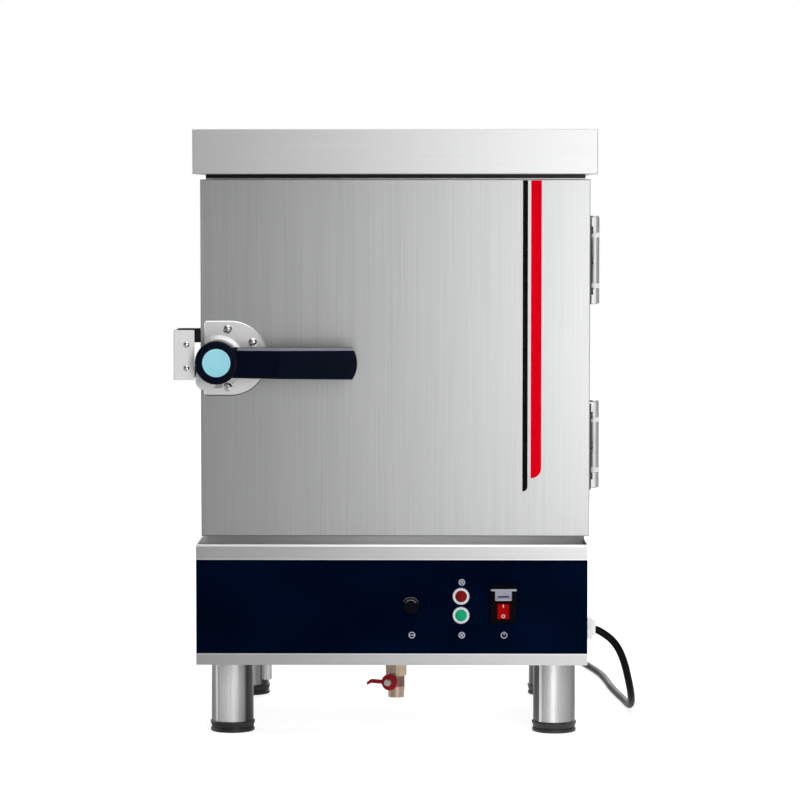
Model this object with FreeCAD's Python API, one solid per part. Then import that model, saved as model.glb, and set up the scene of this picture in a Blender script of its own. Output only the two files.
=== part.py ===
import FreeCAD, Part
import math
import os

# An electric rice steamer: an insulated steam cabinet with one hinged door, standing on
# a base that holds the water tank, the heater and the switches, on four levelling legs.
# All sizes are millimetres, +Z is up and the door faces -Y. The sizes below are written
# about the cabinet's middle plane x = 0, and the finished pieces are then centred over
# the floor by the vector named centring.

# Overall sizes
total_height = 756.0
overall_depth = 450.0
sheet = 1.2
liner_sheet = 1.0
foam = 30.0
touch_gap = 0.3
run_gap = 0.05

# Hood
hood_width = 500.0
hood_height = 55.5
hood_seat = 15.0

# Cabinet body
body_width = 475.0
gutter_depth = 60.0
body_back_inset = 10.0

# Base
base_left_margin = 9.8
base_right_margin = 1.5
base_bottom_z = 91.4
base_top_z = 242.0
deck_drop = 8.0
lip = 2.2
lip_clear = 1.5
gutter_slope = 9.0
top_band = 19.3
bottom_band = 14.4
panel_sheet = 1.5
panel_overlap = 7.0
panel_return = 12.0
slot_count = 9
slot_pitch = 30.0
slot_width = 5.0
slot_height = 60.0

# Door
door_overlap = 4.0
door_inset = 14.0
door_depth = 40.0
door_gap_top = 6.5
door_gap_bottom = 9.0
door_fold = 14.0
door_raise = 9.0
door_raise_inset = 12.0
gasket_width = 8.0
gasket_offset = 4.0

# Hinges
hinge_length = 107.5
hinge_middle = 57.0
washer_thickness = 6.0
barrel_r = 6.0
hinge_pin_r = 3.0
washer_r = 6.4
pin_outset = 7.4
pin_forward = 3.0
leaf = 2.0
leaf_width = 32.0
hinge_from_top = 100.7
hinge_from_bottom = 111.6
hinge_screws = 3
hinge_screw_pitch = 38.0

# Door latch
hub_inset = 21.9
hub_rise = 217.3
hub_r = 26.8
hub_depth = 24.0
cap_r = 17.4
cap_recess = 2.0
cap_proud = 0.8
spindle_r = 6.0
cam_thickness = 6.0
cam_hub_r = 22.0
cam_reach = 27.0
cam_lobe_r = 12.8
cam_angle = 236.2
plate_thickness = 2.5
plate_height = 93.0
plate_straight = 32.5
plate_left = 17.3
plate_corner = 3.0
plate_rise = 4.3
boss_r = 33.0
boss_height = 2.5
boss_gap = 1.4
bar_reach = 173.6
bar_thickness = 22.0
bar_root_height = 37.6
bar_end_height = 39.4
bar_bevel = 3.6
bar_round = 3.4
bar_end_bulge = 6.0
bar_offset = 15.0

# Keeper beside the door
keeper_height = 62.0
keeper_rise = 8.7
keeper_sheet = 2.0
keeper_reach = 37.0
keeper_face = 26.6
keeper_set_back = 1.2
keeper_web = 10.0
keeper_gap = 6.6
keeper_flange = 34.0
keeper_arm = 18.0
keeper_arm_low = 14.4
rivet_r = 3.2
rivet_pitch = 29.3
rivet_in = 10.0

# Screws
screw_r = 2.5
screw_head_r = 5.6
screw_head_h = 2.6
cross_width = 1.5
cross_reach = 6.0
cross_depth = 1.7
panel_screw_head_r = 4.5
panel_screw_inset = 14.0

# Stripes on the door
black_stripe_in = 83.4
black_stripe_width = 6.3
black_stripe_rise = 56.0
red_stripe_in = 73.2
red_stripe_width = 13.1
red_stripe_rise = 72.5
film = 0.25

# Steam chamber, racks and trays
tray_count = 4
tray_headroom = 59.1
first_ledge = 28.0
ledge_width = 22.0
ledge_thickness = 2.0
ledge_height = 14.0
upright_width = 20.0
upright_thickness = 3.0
rack_front = 36.0
rack_back = 10.0
tray_rest = 10.0
tray_height = 45.0
tray_sheet = 1.0
tray_rim = 6.0
tray_corner = 8.0
tray_front = 22.0
tray_back = 14.0

# Water tank under the chamber
tank_side_gap = 55.3
tank_front_gap = 56.0
tank_back_gap = 21.8
tank_depth = 90.2
tank_rim = 12.0
tank_clear = 1.5
cover_thickness = 1.5
cover_slots = 5
cover_slot_width = 20.0
cover_pitch = 48.0
cover_margin = 34.0
water_level = 48.0

# Heater
heater_tube_r = 4.0
heater_loops = 3
heater_pitch = 44.0
heater_bend_r = 13.0
heater_length = 200.0
heater_plate_margin = 15.0
heater_plate_height = 28.0
heater_flange_t = 4.0
heater_slot_clear = 3.0
heater_rise = 18.0
terminal_length = 12.0

# Water inlet, float, vent and overflow
pipe_r = 10.4
inlet_side = 45.0
inlet_hex = 24.0
inlet_hex_length = 6.0
inlet_nose = 8.0
inlet_nut = 6.0
fork_gap = 8.0
fork_cheek = 3.0
fork_height = 13.0
inlet_drop = 16.0
inlet_bore_r = 7.0
inlet_proud = 25.0
float_r = 18.0
float_reach = 80.0
float_drop = 48.0
float_rod_r = 2.5
float_inset = 22.0
float_pivot_drop = 2.0
float_eye_r = 5.0
vent_r = 11.0
vent_wall = 1.5
vent_below_roof = 45.0
vent_proud = 20.0
overflow_r = 6.35
overflow_wall = 1.0
overflow_out = 24.8
overflow_back = 179.0
overflow_drop = 61.4
overflow_bend = 14.0
overflow_collar_r = 9.0
overflow_collar = 7.0

# Drain and its ball valve
drain_x = -1.0
drain_back = 84.0
drain_wall = 2.2
valve_hex = 27.0
valve_hex_drop = 41.8
valve_hex_height = 16.0
valve_hex_chamfer = 2.4
valve_body_r = 11.0
valve_tail_r = 10.4
valve_tail_length = 14.0
valve_low_drop = 69.9
valve_drop = 48.9
valve_ball_r = 9.0
valve_bore_r = 6.0
valve_turned = 28.0
stem_r = 3.5
stem_boss_r = 7.5
stem_boss = 16.0
lever_hub_r = 10.4
lever_thickness = 4.5
lever_reach = 32.4
lever_height = 4.8
lever_tip = 5.5
lever_tip_drop = 4.0
stem_nut = 8.0
stem_nut_t = 4.0

# Switches and lamps on the control panel
reset_in = 219.4
reset_rise = 1.85
reset_ring_r = 10.5
reset_ring_proud = 4.0
reset_button_r = 7.4
reset_travel = 3.0
reset_barrel_r = 8.6
reset_body = 24.0
lamp_in = 157.0
lamp_rise = 1.6
lamp_spacing = 23.7
lamp_bezel_r = 10.6
lamp_lens_r = 7.3
lamp_proud = 4.0
lamp_barrel_r = 8.0
lamp_depth = 26.0
lamp_notches = 20
lamp_notch_r = 0.8
switch_in = 104.5
switch_over_rocker = 8.0
switch_width = 33.0
switch_height = 48.0
switch_proud = 3.0
switch_body_width = 27.0
switch_body_height = 40.0
switch_depth = 28.0
rocker_drop = 4.05
rocker_width = 14.2
rocker_height = 19.4
rocker_gap = 0.4
rocker_end_gap = 1.1
rocker_proud = 0.8
rocker_tilt = 12.0
rocker_pin_r = 1.5
cover_over_rocker = 14.3
cover_pin_out = 6.9
cover_pin_r = 1.2
cover_neck_width = 20.6
cover_neck = 10.0
neck_slot = 1.8
neck_slot_width = 14.0
cover_lid_width = 31.8
cover_lid = 30.0
cover_wall = 2.4
cover_raised = 97.0

# Parts inside the base
contactor_size = (45.0, 72.0, 70.0)
contactor_in = 94.0
terminal_size = (36.0, 58.0, 26.0)
terminal_in = 17.0
terminal_clear = 14.0
inside_back = 38.0

# Legs and levelling feet
leg_r = 26.4
leg_wall = 1.5
leg_left_in = 41.4
leg_right_in = 39.1
leg_front_in = 62.0
leg_rear_in = 77.5
leg_rear_right = 3.3
foot_height = 13.4
foot_ring_r = 28.6
foot_ring_low_r = 26.6
foot_ring_h = 7.2
foot_waist_r = 25.2
foot_flange_r = 27.6
foot_flange_h = 4.6
foot_round = 1.4
foot_stem_r = 6.0
foot_stem = 42.0
foot_travel = 25.0
leg_plug = 8.0

# Cord, coil and plug
cord_r = 4.8
gland_back = 135.0
gland_rise = 29.5
gland_hex = 27.0
gland_hex_length = 12.2
gland_cap_r = 10.4
gland_cap = 4.0
gland_thread_r = 9.8
gland_inside = 12.0
gland_nut = 5.0
coil_x = 204.0
coil_y = 492.0
coil_out_r = 51.0
coil_step = 10.2
coil_layer = 10.2
coil_turns = 3.25
coil_lift = 0.05
plug_sleeve = 34.0
plug_length = 45.0
plug_width = 38.0
plug_pin = 18.0

# Places worked out from the sizes above
front_y = -overall_depth / 2
back_y = overall_depth / 2
body_half = body_width / 2
body_front_y = front_y + gutter_depth
body_back_y = back_y - body_back_inset
body_top_z = total_height - hood_height
deck_z = base_top_z - deck_drop
wall = sheet + foam + liner_sheet
chamber_half = body_half - wall
chamber_back_y = body_back_y - wall
chamber_floor_z = deck_z + wall
chamber_roof_z = body_top_z - wall
base_low_x = -body_half - base_left_margin
base_high_x = body_half + base_right_margin
base_middle_x = (base_low_x + base_high_x) / 2
panel_top_z = base_top_z - top_band
panel_bottom_z = base_bottom_z + bottom_band
panel_front_y = front_y + sheet
panel_back_y = panel_front_y + panel_sheet
panel_middle_z = (panel_top_z + panel_bottom_z) / 2
door_half = body_half + door_overlap
door_front_y = front_y + door_inset
door_back_y = door_front_y + door_depth
door_low_z = base_top_z + door_gap_bottom
door_high_z = body_top_z - door_gap_top
pin_x = door_half + pin_outset
pin_y = body_front_y - pin_forward
hinge_zs = (door_high_z - hinge_from_top, door_low_z + hinge_from_bottom)
hub_x = -door_half + hub_inset
hub_z = door_low_z + hub_rise
plate_front_y = door_front_y - plate_thickness
cam_back_y = plate_front_y - boss_height - boss_gap
cam_front_y = cam_back_y - cam_thickness
hub_front_y = cam_front_y - hub_depth
keeper_low_x = -body_half - keeper_reach
keeper_back_face_y = cam_front_y - 2 * touch_gap
keeper_front_y = keeper_back_face_y - 2 * keeper_sheet
keeper_z = hub_z + keeper_rise
tray_room = chamber_roof_z - chamber_floor_z - first_ledge - tray_headroom - tray_height
tray_pitch = tray_room / (tray_count - 1)
tank_half = chamber_half - tank_side_gap
tank_front_y = body_front_y + tank_front_gap
tank_back_y = chamber_back_y - tank_back_gap
tank_bottom_z = chamber_floor_z - tank_depth
inlet_x = tank_half - inlet_side
inlet_z = chamber_floor_z - liner_sheet - inlet_drop
water_z = tank_bottom_z + water_level
vent_z = chamber_roof_z - vent_below_roof
drain_y = tank_front_y + drain_back
overflow_x = -tank_half - overflow_out
overflow_y = tank_front_y + overflow_back
overflow_end_z = base_bottom_z - overflow_drop
valve_hex_low_z = base_bottom_z - valve_hex_drop
valve_low_z = base_bottom_z - valve_low_drop
valve_z = base_bottom_z - valve_drop
valve_turn = math.radians(valve_turned)
stem_axis = FreeCAD.Vector(-math.sin(valve_turn), -math.cos(valve_turn), 0)
reset_x = base_high_x - reset_in
reset_z = panel_middle_z + reset_rise
lamp_x = base_high_x - lamp_in
lamp_middle_z = panel_middle_z + lamp_rise
lamp_zs = (lamp_middle_z + lamp_spacing / 2, lamp_middle_z - lamp_spacing / 2)
switch_x = base_high_x - switch_in
rocker_z = panel_middle_z - rocker_drop
switch_z = rocker_z + switch_over_rocker
cover_pin_z = rocker_z + cover_over_rocker
gland_y = front_y + gland_back
gland_z = base_bottom_z + gland_rise
leg_xs = (base_low_x + leg_left_in, base_high_x - leg_right_in)
leg_ys = (front_y + leg_front_in, back_y - leg_rear_in)
leg_names = ("front_left", "front_right", "rear_left", "rear_right")
leg_places = [(x + shift, y) for y, shift in zip(leg_ys, (0, leg_rear_right)) for x in leg_xs]
inlet_end_y = body_back_y + inlet_proud
low_reach = keeper_low_x
high_reach = pin_x + washer_r
front_reach = hub_front_y - bar_offset
centring = FreeCAD.Vector(-(low_reach + high_reach) / 2, -(front_reach + inlet_end_y) / 2, 0)

# The cord's route, from inside the gland down to the floor and back along it
cord_floor = cord_r + coil_lift
cord_route = [
    (base_high_x + 2.0, gland_y, gland_z),
    (base_high_x + 14.0, gland_y, gland_z),
    (base_high_x + 30.4, gland_y + 0.3, 111.6),
    (base_high_x + 41.7, gland_y + 1.2, 101.2),
    (base_high_x + 49.6, gland_y + 3.0, 87.6),
    (base_high_x + 55.4, gland_y + 7.0, 70.8),
    (base_high_x + 60.0, gland_y + 14.5, 51.5),
    (base_high_x + 64.0, gland_y + 27.5, 33.4),
    (base_high_x + 66.0, gland_y + 48.5, 18.9),
    (base_high_x + 66.5, gland_y + 76.5, 9.2),
    (base_high_x + 65.4, gland_y + 110.0, cord_floor),
    (base_high_x + 62.0, gland_y + 150.0, cord_floor),
    (base_high_x + 56.0, gland_y + 204.0, cord_floor),
    (base_high_x + 50.5, gland_y + 266.0, cord_floor),
    (base_high_x + 47.5, gland_y + 330.0, cord_floor),
    (base_high_x + 42.0, gland_y + 394.0, cord_floor),
    (base_high_x + 32.0, gland_y + 450.0, cord_floor),
    (base_high_x + 22.5, gland_y + 500.0, cord_floor),
    (coil_x + coil_out_r, gland_y + 541.0, cord_floor),
    (coil_x + coil_out_r, coil_y - 2 * cord_r, cord_floor),
]

os.makedirs("parts", exist_ok=True)


def vec(x, y, z):
    return FreeCAD.Vector(x, y, z)


def block(x, y, z):
    """A box between the two places given along each axis."""
    return Part.makeBox(x[1] - x[0], y[1] - y[0], z[1] - z[0], vec(x[0], y[0], z[0]))


def rod(radius, start, end):
    return Part.makeCylinder(radius, (end - start).Length, start, end - start)


def pipe(outer_r, inner_r, start, end):
    return rod(outer_r, start, end).cut(rod(inner_r, start, end))


def rod_x(radius, x, y, z):
    return rod(radius, vec(x[0], y, z), vec(x[1], y, z))


def rod_y(radius, x, y, z):
    return rod(radius, vec(x, y[0], z), vec(x, y[1], z))


def rod_z(radius, x, y, z):
    return rod(radius, vec(x, y, z[0]), vec(x, y, z[1]))


def fused(shapes):
    whole = shapes[0].fuse(shapes[1:]) if len(shapes) > 1 else shapes[0]
    return whole.removeSplitter()


def polygon(points):
    return Part.Face(Part.makePolygon(points + [points[0]]))


def prism(flats, start, end):
    """A hexagonal bar with this distance across its flats."""
    axis = end - start
    side = vec(0, 0, 1).cross(axis) if abs(axis.z) < 0.9 * axis.Length else vec(1, 0, 0)
    side = side.normalize() * (flats / math.sqrt(3))
    turn = FreeCAD.Rotation(axis, 60)
    corners = []
    for _ in range(6):
        corners.append(start + side)
        side = turn.multVec(side)
    return polygon(corners).extrude(axis)


def edges_along(shape, axis, test=lambda edge: True):
    """The straight edges that run along this axis and pass the test."""
    found = []
    for edge in shape.Edges:
        if edge.Curve.TypeId == "Part::GeomLine":
            run = edge.Vertexes[-1].Point - edge.Vertexes[0].Point
            if run.cross(axis).Length < 1e-6 * run.Length and test(edge):
                found.append(edge)
    return found


def rims_at(shape, side, place):
    """The shape's round edges that lie at this place along X, Y or Z."""
    found = []
    for edge in shape.Edges:
        if edge.Curve.TypeId == "Part::GeomCircle" and abs(getattr(edge.Vertexes[0], side) - place) < 1e-6:
            found.append(edge)
    return found


def mirrored_x(shape):
    return shape.mirror(vec(0, 0, 0), vec(1, 0, 0))


def export(node, shape):
    placed = shape.copy()
    placed.translate(centring)
    placed.exportStep("parts/" + node + ".step")
    print(node, len(placed.Solids), "solids", round(placed.Volume), "mm3", placed.isValid())
    return placed


def tank_passage(low_z, high_z):
    """The hole that the tank's walls hang through."""
    return block(
        (-tank_half - tank_clear, tank_half + tank_clear),
        (tank_front_y - tank_clear, tank_back_y + tank_clear),
        (low_z, high_z),
    )


def inlet_passage(radius, low_y, high_y):
    return rod_y(radius, inlet_x, (low_y, high_y), inlet_z)


def vent_passage(radius, low_y, high_y):
    return rod_y(radius, 0, (low_y, high_y), vent_z)


def outer_shell():
    shell = block((-body_half, body_half), (body_front_y, body_back_y - sheet), (deck_z, body_top_z))
    inside = block(
        (-body_half + sheet, body_half - sheet),
        (body_front_y + sheet, body_back_y),
        (deck_z + sheet, body_top_z - sheet),
    )
    mouth = block(
        (-chamber_half, chamber_half),
        (body_front_y, body_front_y + sheet),
        (chamber_floor_z, chamber_roof_z),
    )
    shell = shell.cut([inside, mouth, tank_passage(deck_z, deck_z + sheet)])
    tools = [rod_x(screw_r, *place) for place in fixed_leaf_screws(body_half - sheet)]
    tools += [rod_x(screw_r, *place) for place in keeper_screws(-body_half)]
    return shell.cut(tools)


def panel_screw_places():
    """Two columns of four screws on the back panel."""
    low = deck_z + panel_screw_inset
    high = body_top_z - panel_screw_inset
    columns = (-body_half + panel_screw_inset, body_half - panel_screw_inset)
    return [(x, low + (high - low) * i / 3) for x in columns for i in range(4)]


def back_panel():
    panel = block((-body_half, body_half), (body_back_y - sheet, body_back_y), (deck_z, body_top_z))
    tools = [rod_y(screw_r, x, (body_back_y - sheet, body_back_y), z) for x, z in panel_screw_places()]
    tools.append(vent_passage(vent_r + touch_gap, body_back_y - sheet, body_back_y))
    tools.append(inlet_passage(pipe_r + touch_gap, body_back_y - sheet, body_back_y))
    return panel.cut(tools)


def hood_cover():
    half = hood_width / 2
    hood = block((-half, half), (front_y, back_y), (body_top_z, total_height))
    hollow = block(
        (-half + sheet, half - sheet),
        (front_y + sheet, back_y - sheet),
        (body_top_z + sheet, total_height - sheet),
    )
    opening = block(
        (-body_half + hood_seat, body_half - hood_seat),
        (body_front_y + hood_seat, body_back_y - hood_seat),
        (body_top_z, body_top_z + sheet),
    )
    rounded = edges_along(hood, vec(0, 0, 1)) + edges_along(
        hood, vec(1, 0, 0), lambda e: abs(e.Vertexes[0].Y - front_y) < 1e-6
    )
    return hood.makeFillet(sheet, rounded).cut([hollow, opening])


def steam_liner():
    outer = block(
        (-chamber_half - liner_sheet, chamber_half + liner_sheet),
        (body_front_y + sheet, chamber_back_y + liner_sheet),
        (chamber_floor_z - liner_sheet, chamber_roof_z + liner_sheet),
    )
    inner = block(
        (-chamber_half, chamber_half),
        (body_front_y + sheet, chamber_back_y),
        (chamber_floor_z, chamber_roof_z),
    )
    tools = [
        inner,
        tank_passage(chamber_floor_z - liner_sheet, chamber_floor_z),
        vent_passage(vent_r + touch_gap, chamber_back_y, chamber_back_y + liner_sheet),
    ]
    return outer.cut(tools)


def insulation():
    """Foam slabs in the walls, roof, back and floor of the cabinet."""
    skin = body_half - sheet - touch_gap
    lining = chamber_half + liner_sheet + touch_gap
    front = body_front_y + sheet + touch_gap
    back = body_back_y - sheet - touch_gap
    low = deck_z + sheet + touch_gap
    high = body_top_z - sheet - touch_gap
    roof = chamber_roof_z + liner_sheet + touch_gap
    floor = chamber_floor_z - liner_sheet - touch_gap
    side = block((-skin, -lining), (front, back), (low, high))
    behind = (chamber_back_y + liner_sheet + touch_gap, back)
    across = (-lining + touch_gap, lining - touch_gap)
    top = block(across, (front, back), (roof, high))
    rear = block(across, behind, (floor + touch_gap, roof - touch_gap))
    rear = rear.cut(vent_passage(vent_r + touch_gap, *behind))
    under = block(across, (front, back), (low, floor)).cut(tank_passage(low, floor))
    under = under.cut(inlet_passage(pipe_r + touch_gap, tank_back_y, back))
    return Part.makeCompound([side, mirrored_x(side), top, rear, under])


def rack_side():
    """The right-hand ladder: two uprights and a ledge for each tray."""
    uprights = [body_front_y + rack_front, chamber_back_y - rack_back - upright_width]
    wall_x = (chamber_half - upright_thickness, chamber_half)
    low = chamber_floor_z
    high = chamber_floor_z + first_ledge + tray_pitch * (tray_count - 1) + tray_height
    pieces = [block(wall_x, (y, y + upright_width), (low, high)) for y in uprights]
    run = (uprights[0], uprights[1] + upright_width)
    for i in range(tray_count):
        top = ledge_top(i)
        pieces.append(block((chamber_half - ledge_width, chamber_half), run, (top - ledge_thickness, top)))
        pieces.append(block(wall_x, run, (top, top + ledge_height)))
    return fused(pieces)


def ledge_top(i):
    return chamber_floor_z + first_ledge + tray_pitch * i


def tray(i):
    half = chamber_half - ledge_width + tray_rest
    low_y = body_front_y + tray_front + tray_rim
    high_y = chamber_back_y - tray_back - tray_rim
    bottom = ledge_top(i)
    top = bottom + tray_height
    pan = block((-half, half), (low_y, high_y), (bottom, top))
    pan = pan.makeFillet(tray_corner, edges_along(pan, vec(0, 0, 1)))
    inner = block(
        (-half + tray_sheet, half - tray_sheet),
        (low_y + tray_sheet, high_y - tray_sheet),
        (bottom + tray_sheet, top),
    )
    inner = inner.makeFillet(tray_corner - tray_sheet, edges_along(inner, vec(0, 0, 1)))
    rim = block(
        (-half - tray_rim, half + tray_rim),
        (low_y - tray_rim, high_y + tray_rim),
        (top - tray_sheet, top),
    )
    rim = rim.makeFillet(tray_corner + tray_rim, edges_along(rim, vec(0, 0, 1)))
    return fused([pan, rim]).cut(inner)


def water_tank():
    high = chamber_floor_z
    outer = block((-tank_half, tank_half), (tank_front_y, tank_back_y), (tank_bottom_z, high + sheet))
    inner = block(
        (-tank_half + sheet, tank_half - sheet),
        (tank_front_y + sheet, tank_back_y - sheet),
        (tank_bottom_z + sheet, high + sheet),
    )
    rim = block(
        (-tank_half - tank_rim, tank_half + tank_rim),
        (tank_front_y - tank_rim, tank_back_y + tank_rim),
        (high, high + sheet),
    )
    tools = [
        inner,
        heater_opening(tank_front_y, tank_front_y + sheet),
        inlet_passage(pipe_r + touch_gap, tank_back_y - sheet, tank_back_y),
        rod_z(pipe_r + touch_gap, drain_x, drain_y, (tank_bottom_z, tank_bottom_z + sheet)),
        rod_x(overflow_r + touch_gap, (-tank_half, -tank_half + sheet), overflow_y, water_z),
    ]
    return fused([outer, rim]).cut(tools)


def heater_z():
    return tank_bottom_z + sheet + heater_rise


def heater_half():
    """Half the width over all the heater's tubes."""
    return heater_pitch * (heater_loops - 1) / 2 + heater_bend_r + heater_tube_r


def heater_opening(low_y, high_y):
    """The slot in the tank's front wall for the heater's tubes."""
    half = heater_half() + heater_slot_clear
    rise = heater_tube_r + heater_slot_clear
    return block((-half, half), (low_y, high_y), (heater_z() - rise, heater_z() + rise))


def heating_element():
    """Hairpin tubes side by side, brazed into one flange outside the tank."""
    z = heater_z()
    plate_y = (tank_front_y - heater_flange_t, tank_front_y)
    half = heater_half() + heater_plate_margin
    plate = block((-half, half), plate_y, (z - heater_plate_height / 2, z + heater_plate_height / 2))
    pieces = [plate.makeFillet(10, edges_along(plate, vec(0, 1, 0)))]
    for i in range(heater_loops):
        x = heater_pitch * (i - (heater_loops - 1) / 2)
        end_y = tank_front_y + heater_length
        for side in (-1, 1):
            leg = (plate_y[0] - terminal_length, end_y)
            pieces.append(rod_y(heater_tube_r, x + side * heater_bend_r, leg, z))
        bend = Part.makeTorus(heater_bend_r, heater_tube_r, vec(x, end_y, z), vec(0, 0, 1))
        behind = block(
            (x - 2 * heater_bend_r, x + 2 * heater_bend_r),
            (end_y, end_y + 2 * heater_bend_r),
            (z - 2 * heater_tube_r, z + 2 * heater_tube_r),
        )
        pieces.append(bend.common(behind))
    return fused(pieces)


def tank_cover():
    """The slotted plate that lets steam up out of the tank."""
    level = (chamber_floor_z + sheet, chamber_floor_z + sheet + cover_thickness)
    plate = block(
        (-tank_half - tank_rim, tank_half + tank_rim),
        (tank_front_y - tank_rim, tank_back_y + tank_rim),
        level,
    )
    run = (tank_front_y + cover_margin, tank_back_y - cover_margin)
    slots = []
    for i in range(cover_slots):
        x = cover_pitch * (i - (cover_slots - 1) / 2)
        slots.append(block((x - cover_slot_width / 2, x + cover_slot_width / 2), run, level))
    return plate.cut(slots)


def float_pivot():
    """The float arm's pin, in front of the inlet valve inside the tank."""
    return vec(inlet_x, tank_back_y - sheet - float_inset, inlet_z - float_pivot_drop)


def inlet_valve():
    """A brass nipple through the cabinet's back, ending in the float's fork in the tank."""
    pivot = float_pivot()
    inside = tank_back_y - sheet
    nipple = rod_y(pipe_r, inlet_x, (inside - inlet_nose, inlet_end_y), inlet_z)
    collar = prism(inlet_hex, vec(inlet_x, inside - inlet_hex_length, inlet_z), vec(inlet_x, inside, inlet_z))
    nut = prism(inlet_hex, vec(inlet_x, body_back_y, inlet_z), vec(inlet_x, body_back_y + inlet_nut, inlet_z))
    cheeks = []
    for side in (-1, 1):
        x = sorted((inlet_x + side * fork_gap / 2, inlet_x + side * (fork_gap / 2 + fork_cheek)))
        cheeks.append(block(
            x,
            (pivot.y - float_eye_r, inside - inlet_hex_length),
            (inlet_z - fork_height / 2, inlet_z + fork_height / 2),
        ))
    body = fused([nipple, collar, nut] + cheeks)
    pin_half = fork_gap / 2 + fork_cheek
    pin = rod_x(float_rod_r - run_gap, (inlet_x - pin_half, inlet_x + pin_half), pivot.y, pivot.z)
    bore = rod_y(inlet_bore_r, inlet_x, (inside + inlet_hex_length, inlet_end_y), inlet_z)
    return body.cut(bore).fuse(pin).removeSplitter()


def float_arm():
    """A rod with a hollow ball, hanging at its lower stop in the empty tank."""
    pivot = float_pivot()
    ball_centre = vec(inlet_x, pivot.y - float_reach, pivot.z - float_drop)
    eye_half = fork_gap / 2 - touch_gap
    eye = rod_x(float_eye_r, (inlet_x - eye_half, inlet_x + eye_half), pivot.y, pivot.z)
    arm = rod(float_rod_r, pivot, ball_centre)
    ball = Part.makeSphere(float_r, ball_centre)
    hole = rod_x(float_rod_r, (inlet_x - eye_half, inlet_x + eye_half), pivot.y, pivot.z)
    return fused([eye, arm, ball]).cut(hole)


def steam_vent():
    end = body_back_y + vent_proud
    pieces = [
        vent_passage(vent_r, chamber_back_y - 2.0, end),
        vent_passage(vent_r + 9.0, body_back_y, body_back_y + 2.0),
    ]
    return fused(pieces).cut(vent_passage(vent_r - vent_wall, chamber_back_y - 2.0, end))


def bent_path(points, bend_r):
    """Straight runs joined by arcs of one radius, as one wire."""
    edges = []
    start = points[0]
    for i in range(1, len(points) - 1):
        corner = points[i]
        back = (points[i - 1] - corner).normalize()
        ahead = (points[i + 1] - corner).normalize()
        half_turn = (math.pi - back.getAngle(ahead)) / 2
        radius = bend_r[i - 1] if isinstance(bend_r, list) else bend_r
        reach = radius * math.tan(half_turn)
        first = corner + back * reach
        last = corner + ahead * reach
        inward = (back + ahead).normalize()
        centre_far = radius / math.cos(half_turn)
        middle = corner + inward * (centre_far - radius)
        edges.append(Part.LineSegment(start, first).toShape())
        edges.append(Part.Arc(first, middle, last).toShape())
        start = last
    edges.append(Part.LineSegment(start, points[-1]).toShape())
    return Part.Wire(edges)


def swept(path, radius):
    """A round bar along a wire whose edges meet in line."""
    first = path.Edges[0]
    start = first.valueAt(first.FirstParameter)
    along = first.tangentAt(first.FirstParameter)
    circle = Part.Wire(Part.Circle(start, along, radius).toShape())
    return path.makePipeShell([circle], True, False)


def overflow_pipe():
    corner = vec(overflow_x, overflow_y, water_z)
    points = [vec(-tank_half + 8.0, overflow_y, water_z), corner, vec(overflow_x, overflow_y, overflow_end_z)]
    path = bent_path(points, overflow_bend)
    top = base_bottom_z - touch_gap
    collar = rod_z(overflow_collar_r, overflow_x, overflow_y, (top - overflow_collar, top))
    return swept(path, overflow_r).fuse(collar).cut(swept(path, overflow_r - overflow_wall))


def drain_pipe():
    top = tank_bottom_z + sheet
    low = valve_hex_low_z + valve_hex_height - 10.0
    flange = rod_z(pipe_r + 6.0, drain_x, drain_y, (top, top + 1.5))
    nut = prism(30.0, vec(drain_x, drain_y, tank_bottom_z - 7.0), vec(drain_x, drain_y, tank_bottom_z))
    body = fused([rod_z(pipe_r, drain_x, drain_y, (low, top)), flange, nut])
    return body.cut(rod_z(pipe_r - drain_wall, drain_x, drain_y, (low, top + 1.5)))


def valve_point(along, z=valve_z):
    """A point on the stem's line, this far out from the drain's axis."""
    return vec(drain_x, drain_y, z) + stem_axis * along


def valve_body():
    high = valve_hex_low_z + valve_hex_height
    hexagon = prism(valve_hex, vec(drain_x, drain_y, valve_hex_low_z), vec(drain_x, drain_y, high))
    hexagon.rotate(vec(drain_x, drain_y, 0), vec(0, 0, 1), 30)
    turned_z = valve_hex_low_z + valve_hex_chamfer
    turned_r = valve_hex / math.sqrt(3)
    low_centre = vec(drain_x, drain_y, valve_hex_low_z)
    turned = Part.makeCone(turned_r - valve_hex_chamfer, turned_r, valve_hex_chamfer, low_centre)
    hexagon = hexagon.common(fused([turned, rod_z(turned_r, drain_x, drain_y, (turned_z, high))]))
    tail_top = valve_low_z + valve_tail_length
    pieces = [
        hexagon,
        rod_z(valve_body_r, drain_x, drain_y, (tail_top - 4.0, valve_hex_low_z)),
        rod_z(valve_tail_r, drain_x, drain_y, (valve_low_z, tail_top)),
        rod(stem_boss_r, valve_point(0), valve_point(stem_boss)),
    ]
    tools = [
        rod_z(pipe_r, drain_x, drain_y, (high - 10.0, high)),
        rod_z(valve_bore_r, drain_x, drain_y, (valve_low_z, high)),
        Part.makeSphere(valve_ball_r + touch_gap, valve_point(0)),
        rod(stem_r + run_gap, valve_point(0), valve_point(stem_boss)),
    ]
    return fused(pieces).cut(tools)


def valve_ball():
    """The ball, its passage turned across the flow, with the stem."""
    stem = rod(stem_r, valve_point(0), valve_point(stem_boss + lever_thickness + stem_nut_t + 2.0))
    ball = fused([Part.makeSphere(valve_ball_r, valve_point(0)), stem])
    across = stem_axis.cross(vec(0, 0, 1)) * (2 * valve_ball_r)
    return ball.cut(rod(valve_bore_r - 1.5, valve_point(0) - across, valve_point(0) + across))


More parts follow.
